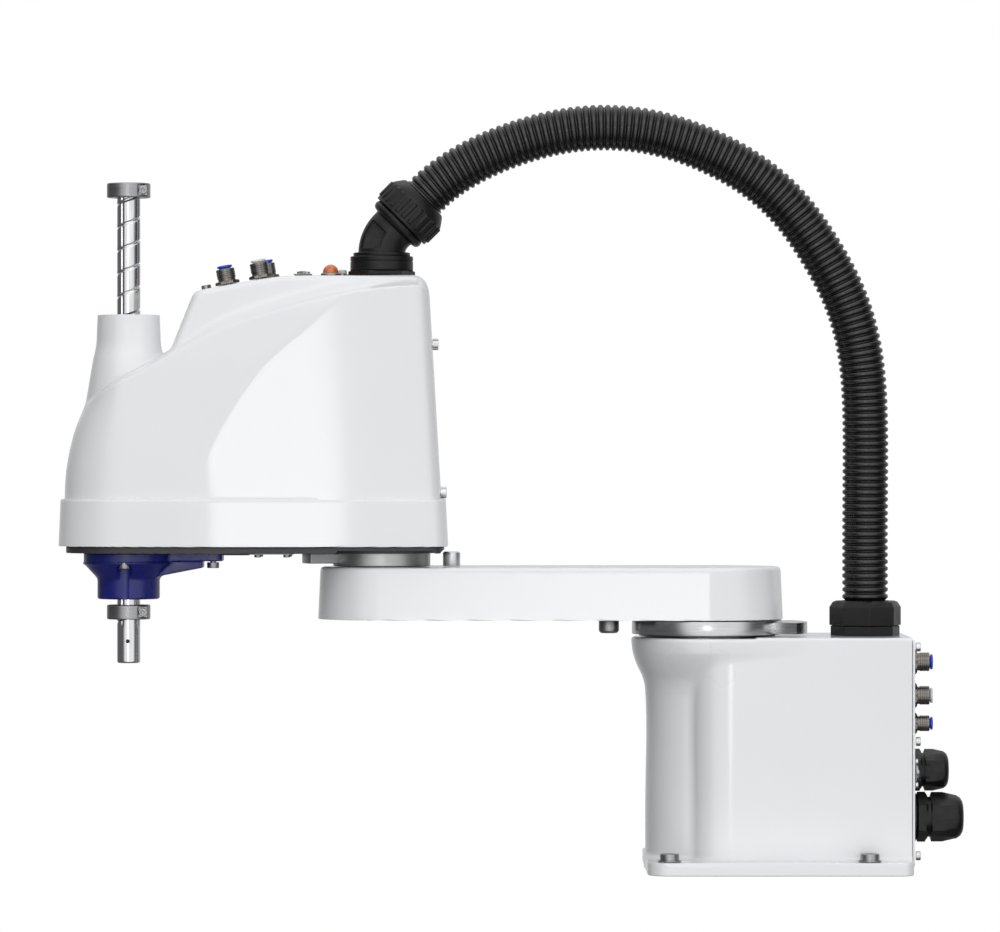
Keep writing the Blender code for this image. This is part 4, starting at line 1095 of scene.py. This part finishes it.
def add_socket():
    """The elbow's fixed half on the cover, then the elbow and its union nut, which turn together."""
    nut = [(13, 409.6, 0), (22.9, 409.6, 6), (23.3, 410, 6), (23.3, 412.2, 6), (21.9, 412.8, 0), (13, 412.8, 0)]
    faceted("socket_nut", nut, (J2_X, 0, 0), UP, "black", "arm2", turn=math.radians(8), bevel=0.15)
    socket = [
        (21.4, 412.9), (21.7, 413.2), (21.7, 418.9), (21.2, 419.1), (21.2, 419.5), (21.7, 419.7), (21.7, 422.2),
        (21.3, 422.7), (13, 422.7), (13, 412.9),
    ]
    turned("socket_body", socket, (J2_X, 0, 0), UP, "black", "arm2", "conduit_socket", steps=72, ease=0.1)
    contour("elbow", elbow_field, (-246, -24, 421), (-190, 24, 470), 0.55, "black", "elbow", "conduit_elbow", sharp=40)
    bm = bmesh.new()
    matrix = frame_at(ELBOW_BEND + ELBOW_AXIS * 18.6, ELBOW_AXIS)
    steps = 240
    rings = []
    for radius, height, ribbed in (
        (13, 0, 0), (22.4, 0, 0), (22.9, 0.5, 0), (22.9, 2.2, 0), (22.9, 3.0, 1), (22.9, 14.6, 1),
        (22.7, 15.6, 0), (22.4, 16.6, 0), (18.6, 21.8, 0), (17.6, 22.6, 0), (16.4, 22.8, 0), (15.9, 20, 0),
        (13, 20, 0),
    ):
        ring = []
        for i in range(steps):
            angle = 2 * math.pi * i / steps
            rib = 0.5 + 0.5 * math.tanh(5 * (math.cos(24 * angle) - 0.15))
            r = radius + 1.1 * rib * ribbed
            ring.append(bm.verts.new(matrix @ Vector((r * math.cos(angle), r * math.sin(angle), height))))
        rings.append(ring)
    join_rings(bm, rings)
    piece("union_nut", bm, "black", "elbow", "conduit_union_nut", sharp=35)


# ---- The shaft ----

GROOVE_LEAD = 16
SPLINE_ANGLES = (-28, 62, 152, 242)


def make_shaft():
    """The ball screw spline: a fine grid round the rod, pressed in where the helix and the straight grooves run."""
    bottom, top = 141.8, 473.3
    columns, rows = 120, 640
    angle = 2 * math.pi * np.arange(columns) / columns
    height = np.linspace(bottom, top, rows)
    a, h = np.meshgrid(angle, height)
    turn_at = ((h - bottom) / GROOVE_LEAD - a / (2 * math.pi) + 0.244) % 1
    off = (np.abs(turn_at - 0.5) * GROOVE_LEAD) / 1.05
    helix = 0.75 * np.clip(1.25 - off**2, 0, 1)
    straight = 0 * a
    for centre in np.radians(SPLINE_ANGLES):
        away = np.abs((a - centre + math.pi) % (2 * math.pi) - math.pi) * 8 / 0.9
        straight = np.maximum(straight, 0.6 * np.clip(1.25 - away**2, 0, 1))
    ends = np.clip((np.minimum(h - 166, 470 - h)) / 6, 0, 1)
    radius = 8 - np.maximum(helix, straight) * np.where(h > 300, 1, ends)
    radius -= np.clip(1 - (h - bottom) / 0.8, 0, 1) * 0.8 + np.clip(1 - (top - h) / 0.8, 0, 1) * 0.8
    bm = bmesh.new()
    grid = []
    for z, around in [*zip(height, radius), (top, np.full(columns, 5.5)), (bottom, np.full(columns, 5.5))]:
        grid.append([bm.verts.new((SHAFT_X + r * math.cos(t), r * math.sin(t), z)) for r, t in zip(around, angle)])
    join_rings(bm, grid)
    piece("ball_screw_spline", bm, "shaft", "shaft", "screw_spline_shaft", sharp=50)
    # The cross hole is not cut: a black rod through the shaft, flush with its surface, is painted shade for the hole's
    # dark inside.
    hole = [(0, -8.06), (1.4, -8.06), (1.4, 8.06), (0, 8.06)]
    turned("shaft_cross_hole_shade", hole, (SHAFT_X, 0, 157), (0, 1, 0), "black", "shaft", steps=24, ease=0)
    for end, middle in (("upper", 468.3), ("lower", 177)):
        name, node = f"{end}_collar", f"{end}_stop_collar"
        low, high = (SHAFT_X - 16.5, -16.5, middle - 6.5), (SHAFT_X + 16.5, 16.5, middle + 6.5)
        contour(name, collar_field(middle), low, high, 0.45, "grey_steel", "shaft", node, sharp=35)
        bm = bmesh.new()
        socket_screw(bm, 2.9, 4.6, 1.5, 2, frame_at((SHAFT_X + 10.6, -7, middle), (0, -1, 0)))
        piece(name + "_screw", bm, "grey_steel", "shaft")


def dress_inner_nodes():
    """The CAD pieces that show inside and underneath keep their shapes and take these finishes."""
    by_slot = {slot: name for name, slot in reversed(SLOTS.items())}
    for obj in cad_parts.values():
        for entry in obj.material_slots:
            if entry.material and entry.material.name in by_slot:
                entry.material = MATERIALS[by_slot[entry.material.name]]


dress_inner_nodes()
make_base()
make_hose()
make_arm_1()
make_arm_2()
make_shaft()
add_camera()
add_studio()
add_floor()
bpy.context.scene.view_settings.view_transform = "Standard"
